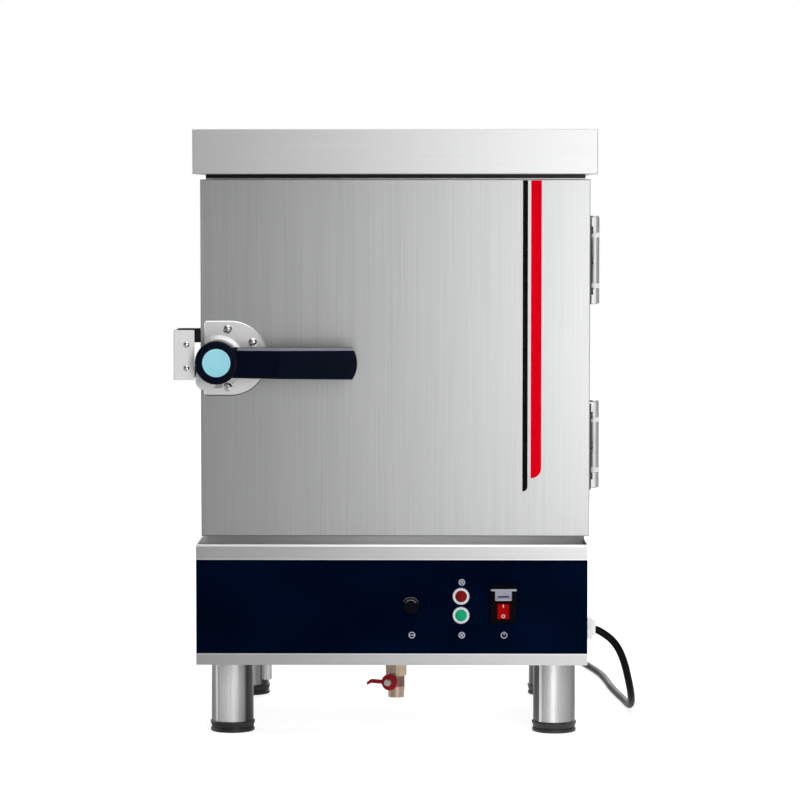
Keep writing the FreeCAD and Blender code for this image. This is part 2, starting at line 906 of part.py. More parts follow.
def valve_lever():
    """A round hub with a short arm to the left whose tip drops."""
    start = stem_boss + touch_gap
    hub = rod(lever_hub_r, valve_point(start), valve_point(start + lever_thickness))
    out = vec(0, 0, 1).cross(stem_axis) * -1
    if out.x > 0:
        out = out * -1
    base = valve_point(start)
    half = lever_height / 2
    up = vec(0, 0, 1)
    neck = lever_reach - lever_tip
    corners = [
        base + up * half,
        base + out * neck + up * half,
        base + out * lever_reach + up * (half - lever_tip_drop),
        base + out * lever_reach - up * (half + lever_tip_drop - 1.0),
        base + out * neck - up * half,
        base - up * half,
    ]
    arm = polygon(corners).extrude(stem_axis * lever_thickness)
    eye = rod(stem_r, valve_point(start), valve_point(start + lever_thickness))
    return fused([hub, arm]).cut(eye)


def valve_nut():
    start = stem_boss + touch_gap + lever_thickness
    nut = prism(stem_nut, valve_point(start), valve_point(start + stem_nut_t))
    return nut.cut(rod(stem_r, valve_point(start), valve_point(start + stem_nut_t)))


def door_skin():
    outer = block((-door_half, door_half), (door_front_y, door_back_y), (door_low_z, door_high_z))
    front = edges_along(outer, vec(0, 0, 1), lambda e: abs(e.Vertexes[0].Y - door_front_y) < 1e-6)
    front += edges_along(outer, vec(1, 0, 0), lambda e: abs(e.Vertexes[0].Y - door_front_y) < 1e-6)
    outer = outer.makeFillet(sheet, front)
    inner = block(
        (-door_half + sheet, door_half - sheet),
        (door_front_y + sheet, door_back_y - sheet),
        (door_low_z + sheet, door_high_z - sheet),
    )
    back = block(
        (-door_half + door_fold, door_half - door_fold),
        (door_back_y - sheet, door_back_y),
        (door_low_z + door_fold / 2, door_high_z - door_fold / 2),
    )
    tools = [inner, back, spindle_hole(spindle_r + touch_gap, door_front_y, door_front_y + sheet)]
    tools += [rod_y(screw_r, x, (door_front_y, door_front_y + sheet), z) for x, z in latch_screw_places()]
    tools += [rod_x(screw_r, *place) for place in moving_leaf_screws(door_half - sheet)]
    return outer.cut(tools)


def gasket_frame(grow):
    """The mouth's outline, larger by this much on each side."""
    return (
        (-chamber_half - grow, chamber_half + grow),
        (chamber_floor_z - grow, chamber_roof_z + grow),
    )


def door_liner():
    """The inner panel, pressed out in the middle where it enters the mouth."""
    inside = door_back_y - sheet
    plate = block(
        (-door_half + sheet, door_half - sheet),
        (inside - liner_sheet, inside),
        (door_low_z + sheet, door_high_z - sheet),
    )
    x, z = gasket_frame(-door_raise_inset)
    pressed = block(x, (inside - liner_sheet, inside + door_raise), z)
    upright = edges_along(pressed, vec(0, 1, 0))
    pressed = pressed.makeFillet(10.0, upright)
    x, z = gasket_frame(-door_raise_inset - liner_sheet)
    hollow = block(x, (inside - liner_sheet, inside + door_raise - liner_sheet), z)
    hollow = hollow.makeFillet(9.0, edges_along(hollow, vec(0, 1, 0)))
    return fused([plate, pressed]).cut(hollow)


def door_insulation():
    low = door_front_y + sheet + touch_gap
    slab = block(
        (-door_half + sheet + touch_gap, door_half - sheet - touch_gap),
        (low, door_back_y - sheet - liner_sheet - touch_gap),
        (door_low_z + sheet + touch_gap, door_high_z - sheet - touch_gap),
    )
    return slab.cut(spindle_hole(spindle_r + 6.0, low, low + 14.0))


def door_gasket():
    x, z = gasket_frame(gasket_offset + gasket_width)
    outer = block(x, (door_back_y - sheet, body_front_y - touch_gap), z)
    x, z = gasket_frame(gasket_offset)
    inner = block(x, (door_back_y - sheet, body_front_y - touch_gap), z)
    ring = outer.cut(inner)
    x, z = gasket_frame(-door_raise_inset)
    groove_x = (-door_half + door_fold, door_half - door_fold)
    groove_z = (door_low_z + door_fold / 2, door_high_z - door_fold / 2)
    window = block(groove_x, (door_back_y - sheet, door_back_y), groove_z)
    front = block(
        (-door_half, door_half), (door_back_y, body_front_y), (door_low_z, door_high_z)
    )
    return ring.common(fused([window, front]))


def stripe(low_x, high_x, low_z):
    """A printed film from the door's top edge, its lower right corner rounded."""
    width = high_x - low_x
    top = door_high_z - sheet
    film_y = (door_front_y - film, door_front_y)
    strip = block((low_x, high_x), film_y, (low_z, top))
    corner = edges_along(
        strip, vec(0, 1, 0), lambda e: e.Vertexes[0].X > high_x - 0.01 and e.Vertexes[0].Z < low_z + 0.01
    )
    return strip.makeFillet(0.96 * width, corner)


def door_stripes():
    black_x = door_half - black_stripe_in
    red_x = door_half - red_stripe_in
    black = stripe(black_x, black_x + black_stripe_width, door_low_z + black_stripe_rise)
    red = stripe(red_x, red_x + red_stripe_width, door_low_z + red_stripe_rise)
    return Part.makeCompound([black, red])


def hinge_levels(middle_z):
    """The knuckle ends from the top down: top, washer, middle, washer, bottom."""
    half = hinge_length / 2
    mid = hinge_middle / 2
    return (middle_z + half, middle_z + mid + washer_thickness, middle_z + mid,
            middle_z - mid, middle_z - mid - washer_thickness, middle_z - half)


def hinge_screw_zs(middle_z):
    middle = (hinge_screws - 1) / 2
    return [middle_z + hinge_screw_pitch * (i - middle) for i in range(hinge_screws)]


def fixed_leaf_screws(low_x):
    y = body_front_y + sheet + leaf_width / 2
    return [((low_x, body_half + leaf), y, z) for m in hinge_zs for z in hinge_screw_zs(m)]


def moving_leaf_screws(low_x):
    y = door_back_y - leaf - leaf_width / 2
    return [((low_x, door_half + leaf), y, z) for m in hinge_zs for z in hinge_screw_zs(m)]


def fixed_leaf(middle_z):
    """The leaf on the cabinet's side, with the long middle knuckle."""
    top, _, high, low, _, bottom = hinge_levels(middle_z)
    flat = block(
        (body_half, body_half + leaf), (body_front_y + 1.0, body_front_y + 1.0 + leaf_width), (bottom, top)
    )
    link = block((body_half, pin_x), (pin_y + barrel_r - leaf, pin_y + barrel_r), (low, high))
    knuckle = rod_z(barrel_r, pin_x, pin_y, (low, high))
    grooves = []
    for third in (1, 2):
        z = low + (high - low) * third / 3
        groove = pipe(barrel_r + 1.0, barrel_r - 0.5, vec(pin_x, pin_y, z - 0.5), vec(pin_x, pin_y, z + 0.5))
        grooves.append(groove)
    tools = [rod_z(hinge_pin_r, pin_x, pin_y, (low, high))]
    tools += [rod_x(screw_r, *place) for place in fixed_leaf_screws(body_half)]
    body = fused([flat, link, knuckle])
    reach = 2 * barrel_r
    half_space = block((pin_x - reach, pin_x + reach), (pin_y - reach, pin_y), (low, high))
    grooves = [groove.common(half_space) for groove in grooves]
    return body.cut(tools + grooves)


def moving_leaf(middle_z):
    """The leaf on the door's side, with the two short end knuckles."""
    top, upper, _, _, lower, bottom = hinge_levels(middle_z)
    leaf_back_y = door_back_y - leaf
    flat = block((door_half, door_half + leaf), (leaf_back_y - leaf_width, leaf_back_y), (bottom, top))
    pieces = [flat]
    for ends in ((upper + touch_gap, top), (bottom, lower - touch_gap)):
        pieces.append(block((door_half, pin_x), (pin_y - barrel_r, pin_y - barrel_r + leaf), ends))
        pieces.append(rod_z(barrel_r, pin_x, pin_y, ends))
    tools = [rod_z(hinge_pin_r + run_gap, pin_x, pin_y, (bottom, top))]
    tools += [rod_x(screw_r, *place) for place in moving_leaf_screws(door_half)]
    return fused(pieces).cut(tools)


def hinge_pin(middle_z):
    """The pin with its domed head above the top knuckle."""
    top, _, _, _, _, bottom = hinge_levels(middle_z)
    pin = rod_z(hinge_pin_r, pin_x, pin_y, (bottom - 1.0, top + 1.0))
    head = rod_z(barrel_r - 0.6, pin_x, pin_y, (top + touch_gap, top + touch_gap + 1.6))
    return fused([pin, head])


def hinge_washer_pair(middle_z):
    _, upper, high, low, lower, _ = hinge_levels(middle_z)
    rings = []
    for ends in ((high, upper), (lower, low)):
        start, end = [vec(pin_x, pin_y, z) for z in ends]
        rings.append(pipe(washer_r, hinge_pin_r + run_gap, start, end))
    return rings


def latch_screw_places():
    """Four screws round the latch plate, two and two about its middle."""
    middle = hub_z + plate_rise
    inner = hub_x + 12.0
    outer = hub_x + 43.0
    return [(inner, middle + 35.7), (inner, middle - 35.7), (outer, middle + 19.2), (outer, middle - 19.2)]


def spindle_hole(radius, low_y, high_y):
    return rod_y(radius, hub_x, (low_y, high_y), hub_z)


def latch_plate():
    """A D-shaped plate with a raised boss round the spindle."""
    middle = hub_z + plate_rise
    half = plate_height / 2
    low_x = hub_x - plate_left
    arc_x = hub_x - plate_left + plate_straight
    ys = (plate_front_y, door_front_y)
    square = block((low_x, arc_x), ys, (middle - half, middle + half))
    left_corners = edges_along(square, vec(0, 1, 0), lambda e: e.Vertexes[0].X < low_x + 0.01)
    square = square.makeFillet(plate_corner, left_corners)
    right_half = block((arc_x, arc_x + half), ys, (middle - half, middle + half))
    round_end = rod_y(half, arc_x, ys, middle).common(right_half)
    shield = fused([square, round_end])
    rim = [e for e in shield.Edges if all(abs(v.Y - plate_front_y) < 1e-6 for v in e.Vertexes)]
    shield = shield.makeChamfer(1.2, rim)
    boss = Part.makeCone(
        boss_r, boss_r - 2 * boss_height, boss_height, vec(hub_x, plate_front_y, hub_z), vec(0, -1, 0)
    )
    boss = boss.common(block((low_x + 1.2, arc_x + half), (plate_front_y - boss_height, door_front_y),
                             (middle - half, middle + half)))
    tools = [spindle_hole(spindle_r + run_gap, plate_front_y - boss_height, door_front_y)]
    tools += [rod_y(screw_r, x, ys, z) for x, z in latch_screw_places()]
    tools += [rod_y(screw_head_r + 1.0, x, (plate_front_y - boss_height, plate_front_y), z)
              for x, z in latch_screw_places()]
    return fused([shield, boss]).cut(tools)


def latch_cam():
    """The steel cam behind the handle, with the spindle through the door's skin."""
    angle = math.radians(cam_angle)
    lobe = (hub_x + cam_reach * math.cos(angle), hub_z + cam_reach * math.sin(angle))
    ys = (cam_front_y, cam_back_y)
    normal = math.acos((cam_hub_r - cam_lobe_r) / cam_reach)
    corners = []
    for centre, radius, side in (((hub_x, hub_z), cam_hub_r, 1), (lobe, cam_lobe_r, 1),
                                 (lobe, cam_lobe_r, -1), ((hub_x, hub_z), cam_hub_r, -1)):
        turn = angle + side * normal
        out = vec(math.cos(turn), 0, math.sin(turn)) * radius
        corners.append(vec(centre[0], cam_front_y, centre[1]) + out)
    web = polygon(corners).extrude(vec(0, cam_thickness, 0))
    inner_y = door_front_y + sheet + touch_gap
    pieces = [
        rod_y(cam_hub_r, hub_x, ys, hub_z),
        rod_y(cam_lobe_r, lobe[0], ys, lobe[1]),
        web,
        rod_y(spindle_r, hub_x, (cam_back_y, inner_y + 8.0), hub_z),
        rod_y(spindle_r + 3.5, hub_x, (inner_y, inner_y + 3.0), hub_z),
    ]
    return fused(pieces)


def latch_handle():
    """A round hub and a long flat grip that stands off the door towards its end."""
    ys = (hub_front_y, cam_front_y)
    hub = rod_y(hub_r, hub_x, ys, hub_z)
    rims = rims_at(hub, "Y", ys[0])
    hub = hub.makeFillet(3.5, rims)
    end_x = hub_x + bar_reach
    start_x = hub_x + 8.0
    shoulder_x = end_x - bar_end_bulge
    middle = hub_z
    root = bar_root_height / 2
    tip = bar_end_height / 2
    far_y = hub_front_y - bar_offset
    top = Part.LineSegment(vec(start_x, far_y, middle + root), vec(shoulder_x, far_y, middle + tip))
    arc = Part.Arc(
        vec(shoulder_x, far_y, middle + tip), vec(end_x, far_y, middle), vec(shoulder_x, far_y, middle - tip)
    )
    under = Part.LineSegment(vec(shoulder_x, far_y, middle - tip), vec(start_x, far_y, middle - root))
    close = Part.LineSegment(vec(start_x, far_y, middle - root), vec(start_x, far_y, middle + root))
    outline = Part.Face(Part.Wire([top.toShape(), arc.toShape(), under.toShape(), close.toShape()]))
    front_view = outline.extrude(vec(0, cam_front_y - far_y, 0))
    low = middle - tip - 1.0
    bow_x = hub_x + 0.45 * bar_reach
    plan = polygon([
        vec(start_x, hub_front_y + 1.0, low),
        vec(hub_x + hub_r - 3.0, hub_front_y + 1.0, low),
        vec(bow_x, far_y + 3.0, low),
        vec(end_x + 1.0, far_y, low),
        vec(end_x + 1.0, far_y + bar_thickness - 4.0, low),
        vec(bow_x, far_y + bar_thickness, low),
        vec(start_x, cam_front_y - 0.5, low),
    ])
    bar = front_view.common(plan.extrude(vec(0, 0, 2 * tip + 2.0)))
    long_edges = [e for e in bar.Edges if e.BoundBox.XLength > 2.0 and e.BoundBox.XMax > start_x + 1.0]
    upper = [
        e for e in long_edges
        if e.BoundBox.ZMin > middle + root - 1.0 and e.BoundBox.YMax < hub_front_y + 2.0
    ]
    lower = [e for e in long_edges if e.BoundBox.ZMax < middle - root + 1.0]
    bar = bar.makeFillet(bar_round, lower).makeChamfer(bar_bevel, upper)
    recess = rod_y(cap_r + touch_gap / 2, hub_x, (hub_front_y, hub_front_y + cap_recess), hub_z)
    return fused([hub, bar]).cut(recess)


def latch_cap():
    """The coloured disc in the handle's hub."""
    ys = (hub_front_y - cap_proud, hub_front_y + cap_recess)
    disc = rod_y(cap_r, hub_x, ys, hub_z)
    rims = rims_at(disc, "Y", ys[0])
    return disc.makeFillet(0.7, rims)


def keeper_screws(high_x):
    """Two screws through the keeper's flange into the cabinet's left side."""
    y = body_front_y + keeper_gap + keeper_flange * 0.6
    pitch = keeper_height / 4
    low_x = -body_half - keeper_sheet
    return [((low_x, high_x + sheet), y, keeper_z + side * pitch) for side in (-1, 1)]


def rivet_places():
    x = keeper_low_x + keeper_face - rivet_in
    return [(x, keeper_z + side * rivet_pitch / 2 - 1.6) for side in (-1, 1)]


def keeper():
    """A folded bracket on the cabinet's side and the striker plate riveted to its front."""
    t = keeper_sheet
    zs = (keeper_z - keeper_height / 2, keeper_z + keeper_height / 2)
    arm_y = body_front_y + keeper_gap
    bracket_x = keeper_low_x
    flange = block((-body_half - t, -body_half), (arm_y, arm_y + keeper_flange), zs)
    arm = block((bracket_x, -body_half), (arm_y - t, arm_y), zs)
    side = block((bracket_x, bracket_x + t), (keeper_back_face_y - t, arm_y), zs)
    front_end_x = bracket_x + keeper_face - keeper_set_back
    front = block((bracket_x, front_end_x), (keeper_back_face_y - t, keeper_back_face_y), zs)
    window = block(
        (bracket_x + t + keeper_web, -body_half - t - 0.5),
        (arm_y - t, arm_y),
        (zs[0] + keeper_arm_low, zs[1] - keeper_arm),
    )
    bracket = fused([flange, arm, side, front])
    bends = edges_along(bracket, vec(0, 0, 1), lambda e: abs(e.Vertexes[0].X - bracket_x) < 1e-6)
    bracket = bracket.makeFillet(1.5, bends).cut(window)
    striker = block(
        (keeper_low_x, keeper_low_x + keeper_face), (keeper_front_y, keeper_front_y + t), zs
    )
    ends = edges_along(striker, vec(0, 0, 1), lambda e: abs(e.Vertexes[0].Y - keeper_front_y) < 1e-6
                       and e.Vertexes[0].X < keeper_low_x + 1e-6)
    striker = striker.makeFillet(1.8, ends)
    tools = [rod_y(rivet_r - 1.0, x, (keeper_front_y, keeper_back_face_y), z) for x, z in rivet_places()]
    bracket = bracket.cut(tools + [rod_x(screw_r, *place) for place in keeper_screws(-body_half)])
    return Part.makeCompound([bracket, striker.cut(tools)])


def screw_x(x, y, z, outward, shank, head_r):
    """A pan screw along X with its head against the plane at x."""
    inner = sorted((x, x - outward * shank))
    outer = sorted((x, x + outward * screw_head_h))
    return fused([rod_x(screw_r, inner, y, z), rod_x(head_r, outer, y, z)])


def screw_y(x, y, z, outward, shank, head_r):
    inner = sorted((y, y - outward * shank))
    outer = sorted((y, y + outward * screw_head_h))
    return fused([rod_y(screw_r, x, inner, z), rod_y(head_r, x, outer, z)])


def cross_screw(x, y, z):
    """A pan screw whose domed head, towards the front, has a cross recess."""
    shank = plate_thickness + sheet
    dome_r = (screw_head_r ** 2 + screw_head_h ** 2) / (2 * screw_head_h)
    dome = Part.makeSphere(dome_r, vec(x, y - screw_head_h + dome_r, z))
    head = dome.common(rod_y(screw_head_r, x, (y - screw_head_h, y), z))
    half, reach = cross_width / 2, cross_reach / 2
    ys = (y - screw_head_h, y - screw_head_h + cross_depth)
    upright = block((x - half, x + half), ys, (z - reach, z + reach))
    level = block((x - reach, x + reach), ys, (z - half, z + half))
    return fused([head, rod_y(screw_r, x, (y, y + shank), z)]).cut([upright, level])


def cabinet_screws():
    pieces = []
    for _, y, z in fixed_leaf_screws(body_half):
        pieces.append(screw_x(body_half + leaf, y, z, 1, leaf + sheet, panel_screw_head_r))
    for _, y, z in keeper_screws(-body_half):
        pieces.append(screw_x(-body_half - keeper_sheet, y, z, -1, keeper_sheet + sheet, panel_screw_head_r))
    for x, z in panel_screw_places():
        pieces.append(screw_y(x, body_back_y, z, 1, sheet, panel_screw_head_r))
    for x, z in rivet_places():
        dome = Part.makeSphere(rivet_r * 1.4, vec(x, keeper_front_y + rivet_r * 0.7, z))
        dome = dome.common(rod_y(rivet_r * 1.4, x, (keeper_front_y - rivet_r, keeper_front_y), z))
        pieces.append(fused([dome, rod_y(rivet_r - 1.0, x, (keeper_front_y, keeper_back_face_y), z)]))
    return Part.makeCompound(pieces)


def door_screws():
    pieces = []
    for _, y, z in moving_leaf_screws(door_half):
        pieces.append(screw_x(door_half + leaf, y, z, 1, leaf + sheet, panel_screw_head_r))
    pieces += [cross_screw(x, plate_front_y, z) for x, z in latch_screw_places()]
    return Part.makeCompound(pieces)


def base_housing():
    """The folded box under the cabinet, with the drip gutter sunk in its top."""
    low_x, high_x = base_low_x, base_high_x
    housing = block((low_x, high_x), (front_y, back_y), (base_bottom_z, base_top_z))
    rounded = edges_along(housing, vec(1, 0, 0), lambda e: abs(e.Vertexes[0].Y - front_y) < 1e-6
                          and e.Vertexes[0].Z > base_top_z - 1)
    housing = housing.makeFillet(sheet, rounded)
    hollow = block(
        (low_x + sheet, high_x - sheet), (front_y + sheet, back_y - sheet), (base_bottom_z, deck_z - sheet)
    )
    top_x = (low_x + lip, body_half + touch_gap + 0.1)
    top_y = (front_y + lip, back_y - lip)
    floor_x = (-body_half - touch_gap, body_half + touch_gap)
    floor_y = (front_y + lip + gutter_slope, body_back_y + touch_gap)
    top = rectangle(top_x, top_y, base_top_z + 0.001)
    floor = rectangle(floor_x, floor_y, deck_z)
    gutter = Part.makeLoft([floor, top], True, True)
    window = block((low_x, high_x), (front_y, front_y + sheet), (panel_bottom_z, panel_top_z))
    seat = block(
        (low_x, high_x),
        (panel_front_y, panel_back_y),
        (panel_bottom_z - panel_overlap, panel_top_z + panel_overlap),
    )
    slots = []
    slot_z = (panel_middle_z - slot_height / 2, panel_middle_z + slot_height / 2)
    for i in range(slot_count):
        x = base_middle_x + slot_pitch * (i - (slot_count - 1) / 2)
        slots.append(block((x - slot_width / 2, x + slot_width / 2), (back_y - sheet, back_y), slot_z))
    tools = [hollow, gutter, window, seat, tank_passage(deck_z - sheet, deck_z)]
    tools.append(rod_x(gland_thread_r + touch_gap, (high_x - sheet, high_x), gland_y, gland_z))
    tools.append(inlet_passage(inlet_hex / math.sqrt(3) + lip_clear, body_back_y, back_y))
    return housing.cut(tools + slots)


def rectangle(x, y, z):
    corners = [vec(x[0], y[0], z), vec(x[1], y[0], z), vec(x[1], y[1], z), vec(x[0], y[1], z)]
    return Part.makePolygon(corners + [corners[0]])


def underside_panel():
    panel = block(
        (base_low_x + sheet, base_high_x - sheet),
        (front_y + sheet, back_y - sheet),
        (base_bottom_z, base_bottom_z + sheet),
    )
    ends = (base_bottom_z, base_bottom_z + sheet)
    tools = [
        rod_z(pipe_r + 2.0, drain_x, drain_y, ends),
        rod_z(overflow_r + 2.0, overflow_x, overflow_y, ends),
    ]
    return panel.cut(tools)


def control_panel():
    """The dark front plate, set back behind the bands, with a return at each end."""
    zs = (panel_bottom_z - panel_overlap, panel_top_z + panel_overlap)
    plate = block((base_low_x, base_high_x), (panel_front_y, panel_back_y), zs)
    low = base_low_x + sheet
    high = base_high_x - sheet
    returns = [
        block((low, low + panel_sheet), (panel_back_y, panel_back_y + panel_return), zs),
        block((high - panel_sheet, high), (panel_back_y, panel_back_y + panel_return), zs),
    ]
    ys = (panel_front_y, panel_back_y)
    tools = [rod_y(reset_barrel_r + touch_gap, reset_x, ys, reset_z)]
    tools += [rod_y(lamp_barrel_r + touch_gap, lamp_x, ys, z) for z in lamp_zs]
    half_w = switch_body_width / 2 + touch_gap
    half_h = switch_body_height / 2 + touch_gap
    tools.append(block((switch_x - half_w, switch_x + half_w), ys, (switch_z - half_h, switch_z + half_h)))
    return fused([plate] + returns).cut(tools)


def reset_switch():
    """The over-temperature cut-out: a ring in front of the panel and a body behind."""
    front = panel_front_y - reset_ring_proud
    back = panel_back_y + reset_body
    ring = rod_y(reset_ring_r, reset_x, (front, panel_front_y), reset_z)
    rims = rims_at(ring, "Y", front)
    ring = ring.makeFillet(1.2, rims)
    barrel = rod_y(reset_barrel_r, reset_x, (panel_front_y, panel_back_y + 8.0), reset_z)
    nut = rod_y(reset_barrel_r + 3.0, reset_x, (panel_back_y, panel_back_y + 4.0), reset_z)
    body = rod_y(14.0, reset_x, (panel_back_y + 8.0, back), reset_z)
    bore = rod_y(reset_button_r + touch_gap, reset_x, (front, panel_back_y + 6.0), reset_z)
    guide = rod_y(2.5 + run_gap, reset_x, (panel_back_y + 6.0, back - 2.0), reset_z)
    return fused([ring, barrel, nut, body]).cut([bore, guide])


def reset_button():
    front = panel_front_y - reset_ring_proud - 0.8
    head_back = panel_back_y + 6.0 - reset_travel - touch_gap
    head = rod_y(reset_button_r, reset_x, (front, head_back), reset_z)
    rims = rims_at(head, "Y", front)
    head = head.makeFillet(1.0, rims)
    stem_end = panel_back_y + reset_body - 2.0 - reset_travel - touch_gap
    stem = rod_y(2.5, reset_x, (head_back, stem_end), reset_z)
    return fused([head, stem])


def lamp_bezel(z):
    """A notched ring with the lamp's body behind the panel."""
    front = panel_front_y - lamp_proud
    ring = rod_y(lamp_bezel_r, lamp_x, (front, panel_front_y), z)
    rims = rims_at(ring, "Y", front)
    ring = ring.makeFillet(0.9, rims)
    notches = []
    for i in range(lamp_notches):
        turn = 2 * math.pi * i / lamp_notches
        x = lamp_x + lamp_bezel_r * math.cos(turn)
        notches.append(rod_y(lamp_notch_r, x, (front, panel_front_y), z + lamp_bezel_r * math.sin(turn)))
    barrel = rod_y(lamp_barrel_r, lamp_x, (panel_front_y, panel_back_y + lamp_depth), z)
    nut = rod_y(lamp_barrel_r + 2.4, lamp_x, (panel_back_y, panel_back_y + 3.0), z)
    socket = rod_y(lamp_lens_r + run_gap, lamp_x, (front, panel_front_y + 3.0), z)
    return fused([ring, barrel, nut]).cut(notches + [socket])


def lamp_lens(z):
    """A domed lens seated in the bezel."""
    front = panel_front_y - lamp_proud
    body = rod_y(lamp_lens_r, lamp_x, (front, panel_front_y + 3.0), z)
    rise = 2.6
    ball_r = (lamp_lens_r ** 2 + rise ** 2) / (2 * rise)
    ball = Part.makeSphere(ball_r, vec(lamp_x, front - rise + ball_r, z))
    dome = ball.common(rod_y(lamp_lens_r, lamp_x, (front - rise, front), z))
    return fused([body, dome])


def switch_housing():
    """The switch's black frame, with its body behind the panel and lugs for the cover."""
    front = panel_front_y - switch_proud
    frame = block(
        (switch_x - switch_width / 2, switch_x + switch_width / 2),
        (front, panel_front_y),
        (switch_z - switch_height / 2, switch_z + switch_height / 2),
    )
    frame = frame.makeFillet(2.0, edges_along(frame, vec(0, 1, 0)))
    rim = [e for e in frame.Edges if all(abs(v.Y - front) < 1e-6 for v in e.Vertexes)]
    frame = frame.makeFillet(1.0, rim)
    body = block(
        (switch_x - switch_body_width / 2, switch_x + switch_body_width / 2),
        (panel_front_y, panel_back_y + switch_depth),
        (switch_z - switch_body_height / 2, switch_z + switch_body_height / 2),
    )
    half_w = rocker_width / 2 + rocker_gap
    half_h = rocker_height / 2 + rocker_end_gap
    well = block(
        (switch_x - half_w, switch_x + half_w), (front, front + 16.0), (rocker_z - half_h, rocker_z + half_h)
    )
    pivot_y = front + 4.0
    pin = rod_x(rocker_pin_r + run_gap, (switch_x - half_w - 2.0, switch_x + half_w + 2.0), pivot_y, rocker_z)
    lugs = []
    for side in (-1, 1):
        inner = cover_neck_width / 2 + touch_gap
        x = sorted((switch_x + side * inner, switch_x + side * (cover_neck_width / 2 + 3.0)))
        lug = block(x, (panel_front_y - cover_pin_out - 2.4, front), (cover_pin_z - 2.4, cover_pin_z + 2.4))
        lugs.append(lug)
    socket = rod_x(
        cover_pin_r + run_gap, (switch_x - switch_width / 2, switch_x + switch_width / 2),
        panel_front_y - cover_pin_out, cover_pin_z,
    )
    return fused([frame, body] + lugs).cut([well, pin, socket])


def switch_rocker():
    """A rocker whose two faces slope up from its middle, on two short pins."""
    front = panel_front_y - switch_proud
    pivot = vec(switch_x, front + 4.0, rocker_z)
    half_h = rocker_height / 2 - rocker_gap
    rise = half_h * math.tan(math.radians(rocker_tilt))
    low_x = switch_x - rocker_width / 2
    peak_y = front - rocker_proud
    points = [
        vec(low_x, peak_y - rise, rocker_z + half_h),
        vec(low_x, peak_y, rocker_z),
        vec(low_x, peak_y - rise, rocker_z - half_h),
        vec(low_x, pivot.y, rocker_z - half_h),
        vec(low_x, pivot.y + 6.0, rocker_z - 3.0),
        vec(low_x, pivot.y + 6.0, rocker_z + 3.0),
        vec(low_x, pivot.y, rocker_z + half_h),
    ]
    body = polygon(points).extrude(vec(rocker_width, 0, 0))
    pins = rod_x(rocker_pin_r, (low_x - 1.6, low_x + rocker_width + 1.6), pivot.y, rocker_z)
    whole = fused([body, pins])
    whole.rotate(pivot, vec(1, 0, 0), rocker_tilt)
    return whole


def switch_cover():
    """The clear splash cover, raised: a neck up the frame and a lid that stands out."""
    y = panel_front_y - cover_pin_out
    half_neck = cover_neck_width / 2
    half_lid = cover_lid_width / 2
    knuckle = rod_x(cover_pin_r + 0.9, (switch_x - half_neck, switch_x + half_neck), y, cover_pin_z)
    pins = rod_x(cover_pin_r, (switch_x - half_neck - 2.6, switch_x + half_neck + 2.6), y, cover_pin_z)
    roof = block(
        (switch_x - half_neck, switch_x + half_neck),
        (y - cover_neck, y),
        (cover_pin_z - 0.9, cover_pin_z + cover_wall - 0.9),
    )
    slot_y = y - cover_pin_r - 1.0
    slot = block(
        (switch_x - neck_slot_width / 2, switch_x + neck_slot_width / 2),
        (slot_y - neck_slot, slot_y),
        (cover_pin_z - cover_wall, cover_pin_z + cover_wall),
    )
    lid_low = cover_pin_z + cover_wall - 0.9 - cover_lid
    lid = block(
        (switch_x - half_lid, switch_x + half_lid),
        (y - cover_neck - cover_wall, y - cover_neck),
        (lid_low, cover_pin_z + cover_wall - 0.9),
    )
    lid = lid.makeFillet(2.5, edges_along(lid, vec(0, 1, 0), lambda e: e.Vertexes[0].Z < lid_low + 0.01))
    whole = fused([knuckle, pins, roof, lid]).cut(slot)
    whole.rotate(vec(switch_x, y, cover_pin_z), vec(1, 0, 0), -cover_raised)
    return whole


def contactor():
    """The heater's relay, on the floor of the base."""
    w, d, h = contactor_size
    low_y = front_y + inside_back
    floor = base_bottom_z + sheet
    low_x = base_low_x + contactor_in
    x = (low_x, low_x + w)
    body = block(x, (low_y, low_y + d), (floor, floor + h * 0.6))
    top = block((x[0] + 4, x[1] - 4), (low_y + 8, low_y + d - 8), (floor + h * 0.6, floor + h))
    terminals = []
    for i in range(3):
        for y in (low_y + 4, low_y + d - 4):
            terminals.append(rod_z(3.0, x[0] + w * (i + 0.5) / 3, y, (floor + h * 0.6, floor + h * 0.6 + 4)))
    return fused([body, top] + terminals)


def terminal_block():
    w, d, h = terminal_size
    floor = base_bottom_z + sheet
    low_y = gland_y - d - terminal_clear
    terminal_x = base_high_x - terminal_in - w
    body = block((terminal_x, terminal_x + w), (low_y, low_y + d), (floor, floor + h))
    ribs = []
    for i in range(3):
        y = low_y + d * (i + 0.5) / 3
        ribs.append(block((terminal_x, terminal_x + w), (y - 6.5, y + 6.5), (floor + h - 9.0, floor + h)))
    screws = []
    for i in range(3):
        y = low_y + d * (i + 0.5) / 3
        for x in (terminal_x + 9.0, terminal_x + w - 9.0):
            screws.append(rod_z(3.5, x, y, (floor + h - 9.0, floor + h - 6.0)))
    return fused([body.cut(ribs)] + screws)


def leg_tube(x, y):
    """A round leg welded under the base, with a threaded plug in its lower end."""
    low = foot_height + touch_gap
    tube = pipe(leg_r, leg_r - leg_wall, vec(x, y, low), vec(x, y, base_bottom_z))
    plug = rod_z(leg_r - leg_wall, x, y, (low, low + leg_plug))
    return fused([tube, plug]).cut(rod_z(foot_stem_r + run_gap, x, y, (low, low + leg_plug)))


